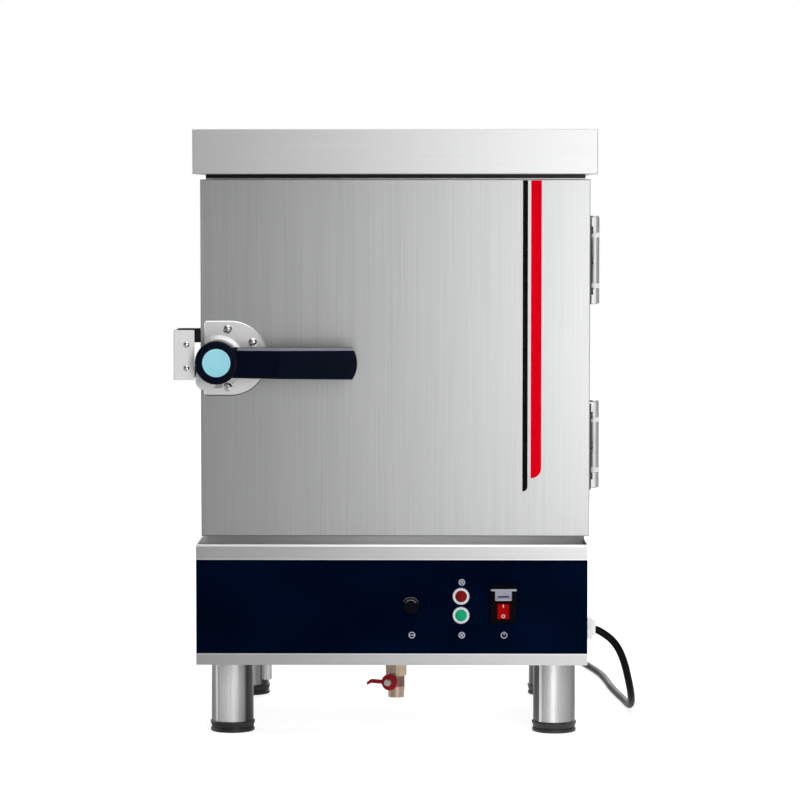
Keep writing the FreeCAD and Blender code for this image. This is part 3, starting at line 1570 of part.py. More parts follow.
def levelling_foot(x, y):
    """A black foot: ring, waist and flange, on a stem that screws up into the leg."""
    ring_low = foot_height - foot_ring_h
    ring = Part.makeCone(foot_ring_low_r, foot_ring_r, foot_ring_h, vec(x, y, ring_low))
    flange = rod_z(foot_flange_r, x, y, (0, foot_flange_h))
    ring = ring.makeFillet(foot_round, rims_at(ring, "Z", foot_height))
    flange = flange.makeFillet(foot_round, rims_at(flange, "Z", foot_flange_h) + rims_at(flange, "Z", 0))
    waist = rod_z(foot_waist_r, x, y, (foot_flange_h / 2, ring_low + foot_ring_h / 2))
    stem = rod_z(foot_stem_r, x, y, (ring_low, foot_height + foot_stem))
    return fused([ring, flange, waist, stem])


def cable_gland():
    """A white cord gland: a nut inside the wall, a hexagon and a cap outside."""
    wall_x = base_high_x
    axis_at = [vec(x, gland_y, gland_z) for x in (
        wall_x - sheet - gland_nut, wall_x - sheet, wall_x, wall_x + gland_hex_length
    )]
    hexagon = prism(gland_hex, axis_at[2], axis_at[3])
    cap_end = wall_x + gland_hex_length + gland_cap
    cap = rod_x(gland_cap_r, (wall_x + gland_hex_length, cap_end), gland_y, gland_z)
    rims = rims_at(cap, "X", cap_end)
    cap = cap.makeFillet(1.6, rims)
    thread = rod_x(gland_thread_r, (wall_x - gland_inside, wall_x), gland_y, gland_z)
    nut = prism(gland_hex, axis_at[0], axis_at[1])
    bore_start = cord_route[0][0]
    grip = rod_x(cord_r, (bore_start, bore_start + 3.0), gland_y, gland_z)
    bore = rod_x(cord_r + 2.0, (bore_start + 3.0, cap_end), gland_y, gland_z)
    return fused([hexagon, cap, thread, nut]).cut([grip, bore])


def cord_radii(points):
    """Each bend's radius: 0.45 of its shorter run over the tangent of half the turn."""
    radii = []
    for i in range(1, len(points) - 1):
        back = points[i] - points[i - 1]
        ahead = points[i + 1] - points[i]
        half_turn = back.getAngle(ahead) / 2
        radii.append(0.45 * min(back.Length, ahead.Length) / math.tan(half_turn))
    return radii


def cord():
    points = [vec(*place) for place in cord_route]
    radii = cord_radii(points)
    path = bent_path(points, radii)
    tube = swept(path, cord_r)
    expected = math.pi * cord_r ** 2 * path.Length
    runs = [(b - a).Length for a, b in zip(points, points[1:])]
    print("cord runs", [round(run, 1) for run in runs])
    print("cord bend radii", [round(radius, 1) for radius in radii])
    print("cord length", round(path.Length, 1), "volume ratio", round(tube.Volume / expected, 5))
    return tube


def coil_point(turns):
    """The coil's centreline after this many turns, and the way it runs there."""
    half = coil_turns / 2
    radius = coil_out_r - coil_step * (half - abs(turns - half))
    climb = min(max((turns - half + 0.25) / 0.5, 0.0), 1.0)
    rise = coil_layer * climb * climb * (3 - 2 * climb)
    slope = 6 * climb * (1 - climb) * coil_layer / (0.5 * 2 * math.pi)
    angle = 2 * math.pi * turns
    out = vec(math.cos(angle), math.sin(angle), 0)
    round_way = vec(-math.sin(angle), math.cos(angle), 0)
    inward = -coil_step / (2 * math.pi) if turns < half else coil_step / (2 * math.pi)
    if abs(turns - half) < 1e-9 or turns < 1e-9 or turns > coil_turns - 1e-9:
        inward = 0.0
    place = vec(coil_x, coil_y, cord_floor + rise) + out * radius
    return place, (round_way * radius + out * inward + vec(0, 0, slope)).normalize()


def arc_from(start, along, end):
    """The arc that leaves start along this direction and reaches end."""
    chord = end - start
    normal = along.cross(chord).cross(along)
    if normal.Length < 1e-9:
        return Part.LineSegment(start, end).toShape()
    normal.normalize()
    radius = chord.dot(chord) / (2 * chord.dot(normal))
    centre = start + normal * radius
    middle = centre + (start + chord * 0.5 - centre).normalize() * radius
    return Part.Arc(start, middle, end).toShape()


def biarc(start, along, end, ahead):
    """Two arcs that join these places and leave and arrive along these directions."""
    chord = end - start
    both = along + ahead
    spread = 2 * (1 - along.dot(ahead))
    reach = -chord.dot(both) + math.sqrt(chord.dot(both) ** 2 + spread * chord.dot(chord))
    reach = reach / spread
    joint = (start + along * reach + end - ahead * reach) * 0.5
    first = arc_from(start, along, joint)
    second = arc_from(end, ahead * -1, joint)
    return [first, second]


def cord_coil():
    """The spare cord, wound inwards on the floor and out again in a second layer."""
    steps = round(coil_turns * 4)
    places = [coil_point(coil_turns * i / steps) for i in range(steps + 1)]
    start, along = places[0]
    edges = [Part.LineSegment(start - along * (2 * cord_r), start).toShape()]
    for (here, way), (there, next_way) in zip(places, places[1:]):
        edges += biarc(here, way, there, next_way)
    end, ahead = places[-1]
    edges.append(Part.LineSegment(end, end + ahead * (2 * cord_r)).toShape())
    path = Part.Wire(Part.sortEdges(edges)[0])
    tube = swept(path, cord_r)
    expected = math.pi * cord_r ** 2 * path.Length
    line = path.discretize(Distance=2.0)
    gap = 1e9
    for i, point in enumerate(line):
        for other in line[i + 15:]:
            gap = min(gap, point.distanceToPoint(other))
    print("coil length", round(path.Length, 1), "volume ratio", round(tube.Volume / expected, 5))
    print("coil least gap to itself", round(gap - 2 * cord_r, 3))
    return tube


def cord_plug():
    """A moulded three-pin plug at the coil's outer end, lying on the floor."""
    end, ahead = coil_point(coil_turns)
    start = end + ahead * (2 * cord_r)
    face = start + ahead * plug_sleeve
    sleeve = Part.makeCone(cord_r + 0.6, cord_r + 3.5, plug_sleeve, start, ahead)
    side = vec(0, 0, 1).cross(ahead)
    half = plug_width / 2
    low = -(end.z - 0.1)
    outline = [
        face + side * (half - 8.0) + vec(0, 0, low),
        face + ahead * 14.0 + side * half + vec(0, 0, low),
        face + ahead * plug_length + side * half + vec(0, 0, low),
        face + ahead * plug_length - side * half + vec(0, 0, low),
        face + ahead * 14.0 - side * half + vec(0, 0, low),
        face - side * (half - 8.0) + vec(0, 0, low),
    ]
    body = polygon(outline).extrude(vec(0, 0, -2 * low))
    body = body.makeFillet(3.0, edges_along(body, vec(0, 0, 1)))
    nose = face + ahead * plug_length
    pins = []
    for across, up, wide in ((0.0, 5.5, 6.4), (-9.5, -3.5, 6.4), (9.5, -3.5, 6.4)):
        middle = nose + side * across + vec(0, 0, up)
        corners = [
            middle + side * (wide / 2) + vec(0, 0, 0.9),
            middle - side * (wide / 2) + vec(0, 0, 0.9),
            middle - side * (wide / 2) - vec(0, 0, 0.9),
            middle + side * (wide / 2) - vec(0, 0, 0.9),
        ]
        pins.append(polygon(corners).extrude(ahead * plug_pin))
    return fused([sleeve, body] + pins)


def build():
    export("outer_shell", outer_shell())
    export("back_panel", back_panel())
    export("hood_cover", hood_cover())
    export("steam_liner", steam_liner())
    export("insulation", insulation())
    export("tray_rack", Part.makeCompound([rack_side(), mirrored_x(rack_side())]))
    for i in range(tray_count):
        export("tray_" + str(i + 1), tray(i))
    export("water_tank", water_tank())
    export("tank_cover", tank_cover())
    export("heating_element", heating_element())
    export("inlet_valve", inlet_valve())
    export("float_arm", float_arm())
    export("steam_vent", steam_vent())
    export("overflow_pipe", overflow_pipe())
    export("drain_pipe", drain_pipe())
    export("valve_body", valve_body())
    export("valve_ball", valve_ball())
    export("valve_lever", valve_lever())
    export("valve_nut", valve_nut())
    export("door_skin", door_skin())
    export("door_liner", door_liner())
    export("door_insulation", door_insulation())
    export("door_gasket", door_gasket())
    export("door_stripes", door_stripes())
    export("hinge_fixed_leaves", Part.makeCompound([fixed_leaf(z) for z in hinge_zs]))
    export("hinge_moving_leaves", Part.makeCompound([moving_leaf(z) for z in hinge_zs]))
    export("hinge_pins", Part.makeCompound([hinge_pin(z) for z in hinge_zs]))
    export("hinge_washers", Part.makeCompound([w for z in hinge_zs for w in hinge_washer_pair(z)]))
    export("latch_plate", latch_plate())
    export("latch_cam", latch_cam())
    export("latch_handle", latch_handle())
    export("latch_cap", latch_cap())
    export("keeper", keeper())
    export("cabinet_screws", cabinet_screws())
    export("door_screws", door_screws())
    export("base_housing", base_housing())
    export("underside_panel", underside_panel())
    export("control_panel", control_panel())
    export("reset_switch", reset_switch())
    export("reset_button", reset_button())
    export("indicator_bezels", Part.makeCompound([lamp_bezel(z) for z in lamp_zs]))
    export("indicator_lens_red", lamp_lens(lamp_zs[0]))
    export("indicator_lens_green", lamp_lens(lamp_zs[1]))
    export("switch_housing", switch_housing())
    export("switch_rocker", switch_rocker())
    export("switch_cover", switch_cover())
    export("contactor", contactor())
    export("terminal_block", terminal_block())
    export("leg_tubes", Part.makeCompound([leg_tube(x, y) for x, y in leg_places]))
    for name, (x, y) in zip(leg_names, leg_places):
        export("foot_" + name, levelling_foot(x, y))
    export("cable_gland", cable_gland())
    export("cord", cord())
    export("cord_coil", cord_coil())
    export("cord_plug", cord_plug())
    print("centring", centring)


build()
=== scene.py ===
import bpy
import math
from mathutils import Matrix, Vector


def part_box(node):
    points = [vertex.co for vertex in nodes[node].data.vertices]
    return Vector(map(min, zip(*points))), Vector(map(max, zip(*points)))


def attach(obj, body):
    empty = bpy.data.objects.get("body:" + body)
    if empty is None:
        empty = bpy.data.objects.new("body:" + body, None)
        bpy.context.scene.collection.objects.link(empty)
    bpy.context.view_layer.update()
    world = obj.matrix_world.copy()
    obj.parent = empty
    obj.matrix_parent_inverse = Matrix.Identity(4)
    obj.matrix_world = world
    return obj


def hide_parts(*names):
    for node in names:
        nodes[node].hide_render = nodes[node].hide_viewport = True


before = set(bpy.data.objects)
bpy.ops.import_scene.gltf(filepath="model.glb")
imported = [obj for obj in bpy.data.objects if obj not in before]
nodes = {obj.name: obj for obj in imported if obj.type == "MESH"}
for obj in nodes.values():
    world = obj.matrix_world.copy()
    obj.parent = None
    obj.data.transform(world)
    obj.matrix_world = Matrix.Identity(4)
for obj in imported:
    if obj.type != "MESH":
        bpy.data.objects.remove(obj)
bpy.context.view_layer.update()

# The frame's origin lies under the middle of the whole machine; the cabinet's own middle is this far from it
SHIFT = Vector((0.0096, 0.0112, 0.0))


def at(x, y, z):
    """A place given in millimetres about the cabinet's middle, in the frame's metres."""
    return Vector((x, y, z)) / 1000 + SHIFT


def grey(level):
    """A neutral colour."""
    return (level, level, level)


# Node helpers

# The Mix node's colour sockets, which share their names with those for its other kinds of data
MIX_A, MIX_B, MIX_RESULT = 6, 7, 2


class Graph:
    """The shader nodes of a material or of the world."""

    def __init__(self, node_tree):
        self.nodes = node_tree.nodes
        self.links = node_tree.links

    def add(self, kind, **values):
        """A new node; each value is one of its properties, or else goes on the socket of that name."""
        node = self.nodes.new(kind)
        for key, value in values.items():
            if hasattr(node, key):
                setattr(node, key, value)
            else:
                node.inputs[key.replace("_", " ")].default_value = value
        return node

    def link(self, source, target):
        self.links.new(source, target)

    def feed(self, socket, value):
        """Sets a socket to a number or a colour, or links another socket to it."""
        if isinstance(value, (int, float)):
            socket.default_value = value
        elif isinstance(value, tuple):
            socket.default_value = (*value, 1.0)
        else:
            self.link(value, socket)

    def apart(self, vector):
        """A vector's X, Y and Z."""
        parts = self.add("ShaderNodeSeparateXYZ")
        self.link(vector, parts.inputs[0])
        return parts.outputs

    def spread(self, value, low, high, from_low=0.3, from_high=0.7):
        """Stretches a value that runs from from_low to from_high, as noise does, to run from low to high."""
        node = self.add("ShaderNodeMapRange", From_Min=from_low, From_Max=from_high, To_Min=low, To_Max=high)
        self.link(value, node.inputs["Value"])
        return node.outputs["Result"]

    def math(self, operation, *values):
        node = self.add("ShaderNodeMath", operation=operation)
        for socket, value in zip(node.inputs, values):
            self.feed(socket, value)
        return node.outputs["Value"]

    def mix(self, factor, a, b):
        node = self.add("ShaderNodeMix", data_type="RGBA")
        sockets = (node.inputs["Factor"], node.inputs[MIX_A], node.inputs[MIX_B])
        for socket, value in zip(sockets, (factor, a, b)):
            self.feed(socket, value)
        return node.outputs[MIX_RESULT]

    def both(self, first, *others):
        """Where all of these masks are 1."""
        for other in others:
            first = self.math("MULTIPLY", first, other)
        return first

    def either(self, first, *others):
        """Where any of these masks is 1."""
        for other in others:
            first = self.math("MAXIMUM", first, other)
        return first

    def above(self, value, limit):
        return self.math("GREATER_THAN", value, limit)

    def below(self, value, limit):
        return self.math("LESS_THAN", value, limit)

    def between(self, value, low, high):
        return self.both(self.above(value, low), self.below(value, high))

    def white_rays(self, behind):
        """1 for the rays that see the white studio.

        These are the camera's, those that pass through clear pieces and, where behind is 1, those that
        a shiny piece mirrors.
        """
        rays = self.add("ShaderNodeLightPath").outputs
        mirrored = self.both(rays["Is Glossy Ray"], behind)
        return self.either(rays["Is Camera Ray"], rays["Is Transmission Ray"], mirrored)


class Tree(Graph):
    """A new material's nodes."""

    def __init__(self, name):
        self.mat = bpy.data.materials.new(name)
        self.mat.use_nodes = True
        super().__init__(self.mat.node_tree)
        self.bsdf = self.nodes["Principled BSDF"]

    def set(self, **values):
        for key, value in values.items():
            self.bsdf.inputs[key.replace("_", " ")].default_value = value
        return self

    def put(self, socket, value):
        """Links a value to the surface shader's socket of this name."""
        self.link(value, self.bsdf.inputs[socket])

    def coords(self, scale=(1, 1, 1)):
        """Object coordinates in metres, stretched by scale."""
        mapping = self.add("ShaderNodeMapping", Scale=scale)
        self.link(self.add("ShaderNodeTexCoord").outputs["Object"], mapping.inputs["Vector"])
        return mapping.outputs["Vector"]

    def facing(self):
        """The surface's direction, and the place on it, each as X, Y and Z."""
        where = self.add("ShaderNodeTexCoord").outputs
        return self.apart(where["Normal"]), self.apart(where["Object"])

    def front(self, normal):
        """Faces that look out of the machine's front."""
        return self.below(normal["Y"], -0.5)

    def noise(self, vector, scale=1.0, detail=3.0, rough=0.5):
        node = self.add("ShaderNodeTexNoise", Scale=scale, Detail=detail, Roughness=rough)
        self.link(vector, node.inputs["Vector"])
        return node.outputs["Fac"]

    def ramp(self, value, stops):
        """Greys along a value: stops are (place, grey)."""
        node = self.add("ShaderNodeValToRGB")
        elements = node.color_ramp.elements
        elements.remove(elements[1])
        elements[0].position, first = stops[0]
        elements[0].color = (*grey(first), 1)
        for place, level in stops[1:]:
            elements.new(place).color = (*grey(level), 1)
        self.link(value, node.inputs["Fac"])
        return node.outputs["Color"]

    def reach(self, across, up):
        """The distance from a middle that lies this far across and up."""
        squares = [self.math("MULTIPLY", way, way) for way in (across, up)]
        return self.math("SQRT", self.math("ADD", *squares))

    def lay(self, mask, colour):
        """Lays this colour over the base colour where the mask is 1."""
        base = self.bsdf.inputs["Base Color"]
        self.link(self.mix(mask, base.links[0].from_socket, colour), base)

    def lay_metal(self, mask, share):
        """Makes this share of the surface metal where the mask is 1."""
        start = self.bsdf.inputs["Metallic"].default_value
        self.put("Metallic", self.spread(mask, start, share, from_low=0.0, from_high=1.0))

    def bump(self, height, strength, distance=0.0002):
        node = self.add("ShaderNodeBump", Strength=strength, Distance=distance)
        self.link(height, node.inputs["Height"])
        self.put("Normal", node.outputs["Normal"])


# Finishes that several pieces share

UPRIGHT = (True, True, False)
ACROSS = (False, True, True)
FROM_FRONT = (True, False, True)


def brushed(name, colour, grain, rough=0.38, depth=0.05, metal=0.9):
    """Brushed stainless steel; grain is true along the axes that cross the scratches."""
    cloud_share = 0.4
    tree = Tree(name).set(Metallic=metal)

    def scratches(across, along, **shape):
        """Noise with this many cells in a metre across the scratches and along them."""
        cells = tuple(across if crossed else along for crossed in grain)
        return tree.noise(tree.coords(cells), **shape)

    fine = scratches(1100, 6, detail=1.0)
    wide = scratches(420, 2.5, detail=2.0, rough=0.6)
    cloud = tree.noise(tree.coords(), scale=3.0, detail=2.0)
    grains = tree.math("ADD", tree.math("MULTIPLY", fine, 0.5), tree.math("MULTIPLY", wide, 0.5))
    dark = tuple(c * (1 - depth) for c in colour)
    pale = tuple(min(c * (1 + depth), 1.0) for c in colour)
    tone = tree.spread(grains, 0.0, 1.0, from_low=0.35, from_high=0.65)
    tree.put("Base Color", tree.mix(tone, dark, pale))
    clouded = tree.math("ADD", grains, tree.math("MULTIPLY", cloud, cloud_share))
    tree.put("Roughness", tree.spread(clouded, rough - 0.03, rough + 0.05, from_low=0.5, from_high=0.9))
    tree.bump(fine, strength=0.06)
    return tree


def polished(name, colour, rough=0.22, metal=1.0, scale=60.0, wear=0.06):
    """Turned, cast or polished metal, whose worn patches are darker and duller."""
    tree = Tree(name).set(Metallic=metal)
    patch = tree.noise(tree.coords(), scale, detail=4.0, rough=0.6)
    dark = tuple(c * (1 - wear) for c in colour)
    tree.put("Base Color", tree.mix(tree.spread(patch, 0.0, 1.0), dark, colour))
    tree.put("Roughness", tree.spread(patch, rough - 0.04, rough + 0.06))
    tree.bump(patch, strength=0.05, distance=0.0003)
    return tree


def moulded(name, colour, rough=0.35, grain=0.04, scale=900.0, coat=0.0, specular=0.5):
    """Moulded plastic or rubber: even colour, a fine skin texture and slight variation."""
    patch_tone = 0.86
    tree = Tree(name).set(Coat_Weight=coat, Specular_IOR_Level=specular)
    skin = tree.noise(tree.coords(), scale, detail=2.0)
    patch = tree.noise(tree.coords(), scale=25.0)
    dark = tuple(c * patch_tone for c in colour)
    tree.put("Base Color", tree.mix(tree.spread(patch, 0.0, 1.0), dark, colour))
    tree.put("Roughness", tree.spread(patch, rough - 0.03, rough + 0.05))
    tree.bump(skin, strength=grain)
    return tree


def painted_bands(name, stops, rough, wander=0.05, metal=1.0, right_stops=None):
    """Polished tube with painted reflections and shade: grey bands along it, which wander a little.

    Tubes right of the machine's middle may have bands of their own.
    """
    tree = Tree(name).set(Metallic=metal)
    normal, place = tree.facing()
    streaks = tree.noise(tree.coords((500, 500, 4)))
    across = tree.math("ADD", tree.math("MULTIPLY", normal["X"], 0.5), 0.5 - wander / 2)
    across = tree.math("ADD", across, tree.math("MULTIPLY", streaks, wander))
    # Painted reflections and shade: greys set by which way each face looks across
    tree.put("Base Color", tree.ramp(across, stops))
    if right_stops:
        tree.lay(tree.above(place["X"], 0.0), tree.ramp(across, right_stops))
    tree.put("Roughness", tree.spread(streaks, rough - 0.03, rough + 0.05))
    return tree


def paint(tree, *names):
    """Gives these CAD nodes this tree's material in every slot."""
    for name in names:
        for slot in nodes[name].material_slots:
            slot.material = tree.mat


# Steel sheet

SHEET_STEEL = (0.44, 0.443, 0.446)
CHAMBER_STEEL = (0.56, 0.565, 0.57)

paint(brushed("hood_steel", (0.575, 0.578, 0.581), ACROSS, rough=0.46, depth=0.03), "hood_cover")
paint(brushed("door_steel", (0.42, 0.423, 0.426), UPRIGHT, depth=0.07), "door_skin")
paint(brushed("back_steel", SHEET_STEEL, UPRIGHT), "back_panel", "underside_panel")
paint(brushed("liner_steel", CHAMBER_STEEL, ACROSS, rough=0.36, depth=0.04),
      "steam_liner", "door_liner", "water_tank", "tank_cover")
paint(brushed("rack_steel", CHAMBER_STEEL, FROM_FRONT, rough=0.34, depth=0.04), "tray_rack")
paint(brushed("tray_steel", SHEET_STEEL, ACROSS, depth=0.03), *(f"tray_{i}" for i in range(1, 5)))


def shell_steel():
    """Its front faces carry painted light: dull under the door with a painted sheen across them, a pale
    strip of painted highlight at the door's top edge, and black painted shadow above that.
    """
    # How far each of these reaches past the door's lower or upper edge
    gutter_wall, highlight_reach, shadow_start = 0.004, 0.004, 0.0019
    sheen_reach = 0.24
    sheen = ((0.0, 0.50), (0.5, 0.68), (0.8, 0.46), (1.0, 0.24))
    door_low, door_high = (corner[2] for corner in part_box("door_skin"))
    tree = brushed("shell_steel", SHEET_STEEL, UPRIGHT)
    normal, place = tree.facing()
    front, height = tree.front(normal), place["Z"]
    # Painted sheen on the front faces under the door, brightest near the middle
    under = tree.both(front, tree.below(height, door_low + gutter_wall))
    # A pale strip of painted highlight along the door's top edge
    edge = tree.both(front, tree.between(height, door_high - highlight_reach, door_high + shadow_start))
    # Black painted shadow above that, in the gap under the hood
    over = tree.both(front, tree.above(height, door_high + shadow_start))
    across = tree.spread(place["X"], 0.0, 1.0, from_low=-sheen_reach, from_high=sheen_reach)
    tree.lay(under, tree.ramp(across, sheen))
    tree.lay(edge, grey(0.90))
    tree.lay(over, grey(0.006))
    tree.lay_metal(over, 0.0)
    return tree


def base_steel():
    """Painted highlights: pale lines along its rolled top edge and along the folds beside the panel."""
    lip_highlight = 0.0028
    lower_band, upper_band = 0.0144, 0.0193
    bend_on_band, bend_on_panel = 0.0014, 0.001
    low, top = (corner[2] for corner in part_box("base_housing"))
    panel_low, panel_high = low + lower_band, top - upper_band
    tree = brushed("base_steel", (0.50, 0.503, 0.506), ACROSS)
    normal, place = tree.facing()
    front, height = tree.front(normal), place["Z"]
    # Painted highlight along the rolled top edge
    tree.lay(tree.both(front, tree.above(height, top - lip_highlight)), grey(0.95))
    # Painted highlights along the folds beside the panel
    lower = tree.between(height, panel_low - bend_on_band, panel_low + bend_on_panel)
    upper = tree.between(height, panel_high - bend_on_panel, panel_high + bend_on_band)
    bend_highlights = tree.both(front, tree.math("ADD", lower, upper))
    tree.lay(bend_highlights, grey(0.66))
    tree.lay_metal(bend_highlights, 0.8)
    return tree


def keeper_steel():
    """The part that is folded back gets painted shade, near black, as it lies in the dark beside the door.
    """
    front_sheet = 0.003
    tree = brushed("keeper_steel", (0.93, 0.93, 0.935), UPRIGHT, rough=0.52, depth=0.02)
    normal, place = tree.facing()
    folded_back = tree.above(place["Y"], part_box("keeper")[0][1] + front_sheet)
    # Painted shade on the front faces of the folded-back part
    dark = tree.both(tree.front(normal), folded_back)
    tree.lay(dark, grey(0.015))
    tree.lay_metal(dark, 0.0)
    return tree


paint(shell_steel(), "outer_shell")
paint(base_steel(), "base_housing")
paint(keeper_steel(), "keeper")


# Small metal pieces

SCREW_STEEL = (0.70, 0.70, 0.72)
BRASS = (0.86, 0.67, 0.52)

paint(polished("cam_metal", (0.84, 0.84, 0.845), rough=0.46), "latch_cam")
paint(polished("screw_metal", SCREW_STEEL, rough=0.20), "cabinet_screws")
paint(polished("pipe_metal", (0.74, 0.745, 0.75), rough=0.18), "steam_vent", "drain_pipe")
paint(polished("float_metal", (0.70, 0.70, 0.71), rough=0.25), "float_arm")
paint(polished("heater_metal", (0.20, 0.18, 0.17), rough=0.42, metal=0.9, scale=90.0, wear=0.4),
      "heating_element")
paint(polished("zinc", (0.74, 0.75, 0.70), rough=0.40, metal=0.4), "valve_nut", "valve_ball")
paint(polished("brass", BRASS, rough=0.34, scale=220.0, wear=0.20), "inlet_valve")


def door_screw_metal():
    """The screws by the hinges are darkened."""
    hinge_side = 0.2
    tree = polished("door_screw_metal", SCREW_STEEL, rough=0.20)
    _, place = tree.facing()
    tree.lay(tree.above(place["X"], hinge_side), grey(0.05))
    return tree


def valve_brass():
    """Cast brass: its turned and polished ends are paler than its belly."""
    belly_top, hexagon_top = 0.0496, 0.0355
    tree = polished("valve_brass", BRASS, rough=0.34, metal=0.9, scale=220.0, wear=0.20)
    _, place = tree.facing()
    tree.lay(tree.below(place["Z"], belly_top), (0.255, 0.14, 0.112))
    tree.lay(tree.below(place["Z"], hexagon_top), (0.56, 0.43, 0.33))
    return tree


def latch_metal():
    """Satin plate whose colour is painted light: pale on bevels that face up and to the left, dark on those
    that face down.
    """
    side_share, leaning = 0.4, 0.7
    painted_light_tones = ((0.0, 0.12), (0.4, 0.80), (0.6, 0.80), (1.0, 1.0))
    tree = Tree("latch_metal").set(Metallic=1.0)
    normal, _ = tree.facing()
    patch = tree.noise(tree.coords(), scale=60.0, detail=4.0, rough=0.6)
    # Painted highlight and shade, set by which way the surface faces
    lean = tree.math("SUBTRACT", normal["Z"], tree.math("MULTIPLY", normal["X"], side_share))
    lean = tree.spread(lean, 0.0, 1.0, from_low=-leaning, from_high=leaning)
    tree.put("Base Color", tree.ramp(lean, painted_light_tones))
    tree.put("Roughness", tree.spread(patch, 0.40, 0.50))
    tree.bump(patch, strength=0.05, distance=0.0003)
    return tree


paint(door_screw_metal(), "door_screws")
paint(valve_brass(), "valve_body")
paint(latch_metal(), "latch_plate")


# Tubes and barrels: painted reflections and shade, as greys from their left side, at 0, over the front to
# their right side, at 1

LEFT_LEG_PAINTED_LIGHT = (
    (0.0, 0.20), (0.09, 0.36), (0.11, 0.40), (0.12, 1.0), (0.16, 1.0), (0.175, 0.52),
    (0.24, 0.76), (0.34, 0.86), (0.42, 1.0), (0.54, 1.0), (0.60, 0.72), (0.68, 0.46),
    (0.79, 0.32), (0.85, 0.030), (0.95, 0.035), (1.0, 0.10),
)
RIGHT_LEG_PAINTED_LIGHT = (
    (0.0, 0.05), (0.10, 0.10), (0.13, 0.14), (0.14, 1.0), (0.175, 1.0), (0.20, 0.44),
    (0.32, 0.58), (0.40, 0.80), (0.43, 1.0), (0.47, 1.0), (0.51, 0.76), (0.56, 0.52),
    (0.70, 0.44), (0.86, 0.30), (0.95, 0.14), (1.0, 0.05),
)
PIPE_PAINTED_LIGHT = ((0.0, 0.30), (0.20, 0.42), (0.28, 1.0), (0.86, 1.0), (0.94, 0.45), (1.0, 0.25))
BARREL_PAINTED_LIGHT = (
    (0.0, 0.01), (0.12, 0.02), (0.19, 0.45), (0.30, 0.78), (0.46, 0.66), (0.62, 0.55),
    (0.84, 0.50), (0.95, 0.32), (1.0, 0.12),
)


def hinge_metal():
    """Barrels with painted rounded shading; the leaves' front edges get painted shade, near black, as they
    lie in the door's shade.
    """
    left_of_pin = 0.0050
    tree = painted_bands("hinge_metal", BARREL_PAINTED_LIGHT, rough=0.52, wander=0.03)
    pins_low, pins_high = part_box("hinge_pins")
    normal, place = tree.facing()
    edge = (pins_low[0] + pins_high[0]) / 2 - left_of_pin
    # Painted shade on the front faces left of the barrel
    painted_shade = tree.both(tree.front(normal), tree.below(place["X"], edge))
    tree.lay(painted_shade, grey(0.012))
    tree.lay_metal(painted_shade, 0.0)
    return tree


paint(painted_bands("leg_steel", LEFT_LEG_PAINTED_LIGHT, rough=0.26, wander=0.03, metal=0.38, right_stops=RIGHT_LEG_PAINTED_LIGHT),
      "leg_tubes")
paint(painted_bands("overflow_steel", PIPE_PAINTED_LIGHT, rough=0.30, metal=0.3), "overflow_pipe")
paint(hinge_metal(), "hinge_fixed_leaves", "hinge_moving_leaves", "hinge_pins")


# Plastic, rubber, enamel and foam

paint(moulded("lever_enamel", (0.44, 0.017, 0.028), rough=0.40, grain=0.02, specular=0.06), "valve_lever")
paint(moulded("gasket_rubber", (0.035, 0.035, 0.038), rough=0.6, grain=0.1), "door_gasket")
paint(moulded("foam", (0.72, 0.62, 0.40), rough=0.9, grain=0.6, scale=500.0),
      "insulation", "door_insulation")
paint(moulded("nylon", grey(0.96), rough=0.4), "hinge_washers")
paint(moulded("blue_cap", (0.39, 0.86, 1.0), rough=0.22, grain=0.01, coat=0.2), "latch_cap")
paint(moulded("switch_black", (0.0012, 0.0010, 0.0020), rough=0.40, specular=0.03), "switch_housing")
paint(moulded("bezel_white", (0.72, 0.74, 0.80), rough=0.22, grain=0.01, coat=0.5), "indicator_bezels")
paint(moulded("inner_plastic", (0.30, 0.30, 0.28), rough=0.5), "contactor", "terminal_block")
paint(moulded("foot_black", (0.027, 0.027, 0.028), rough=0.42, grain=0.05),
      *(f"foot_{end}_{side}" for end in ("front", "rear") for side in ("left", "right")))
paint(moulded("gland_white", grey(1.0), rough=0.30, grain=0.03), "cable_gland")
paint(moulded("plug_black", (0.014, 0.014, 0.015), rough=0.40, grain=0.05), "cord_plug")


def reset_black(name, rim_highlight):
    """Black plastic whose upward-facing edge has a grey painted highlight."""
    flattest, steepest = 0.95, 0.35
    blue_tint = 1.15
    tree = moulded(name, (0.0016, 0.0016, 0.0026), rough=0.30, grain=0.01, specular=0.04)
    normal, _ = tree.facing()
    # Painted highlight where the surface leans up, short of flat
    tree.lay(tree.between(normal["Z"], steepest, flattest), (rim_highlight, rim_highlight, rim_highlight * blue_tint))
    return tree


def jewel(name, colour):
    """A coloured lens with facets cut behind its skin."""
    gain, lift = 1.5, 0.003
    tree = Tree(name).set(Roughness=0.12, Specular_IOR_Level=0.03)
    cells = tree.add("ShaderNodeTexVoronoi", Scale=620.0)
    tree.link(tree.coords(), cells.inputs["Vector"])
    facet = cells.outputs["Distance"]
    pale = tuple(c * gain + lift for c in colour)
    tree.put("Base Color", tree.mix(tree.spread(facet, 0.0, 1.0, from_low=0.1, from_high=0.7), colour, pale))
    tree.bump(facet, strength=0.5, distance=0.0008)
    return tree


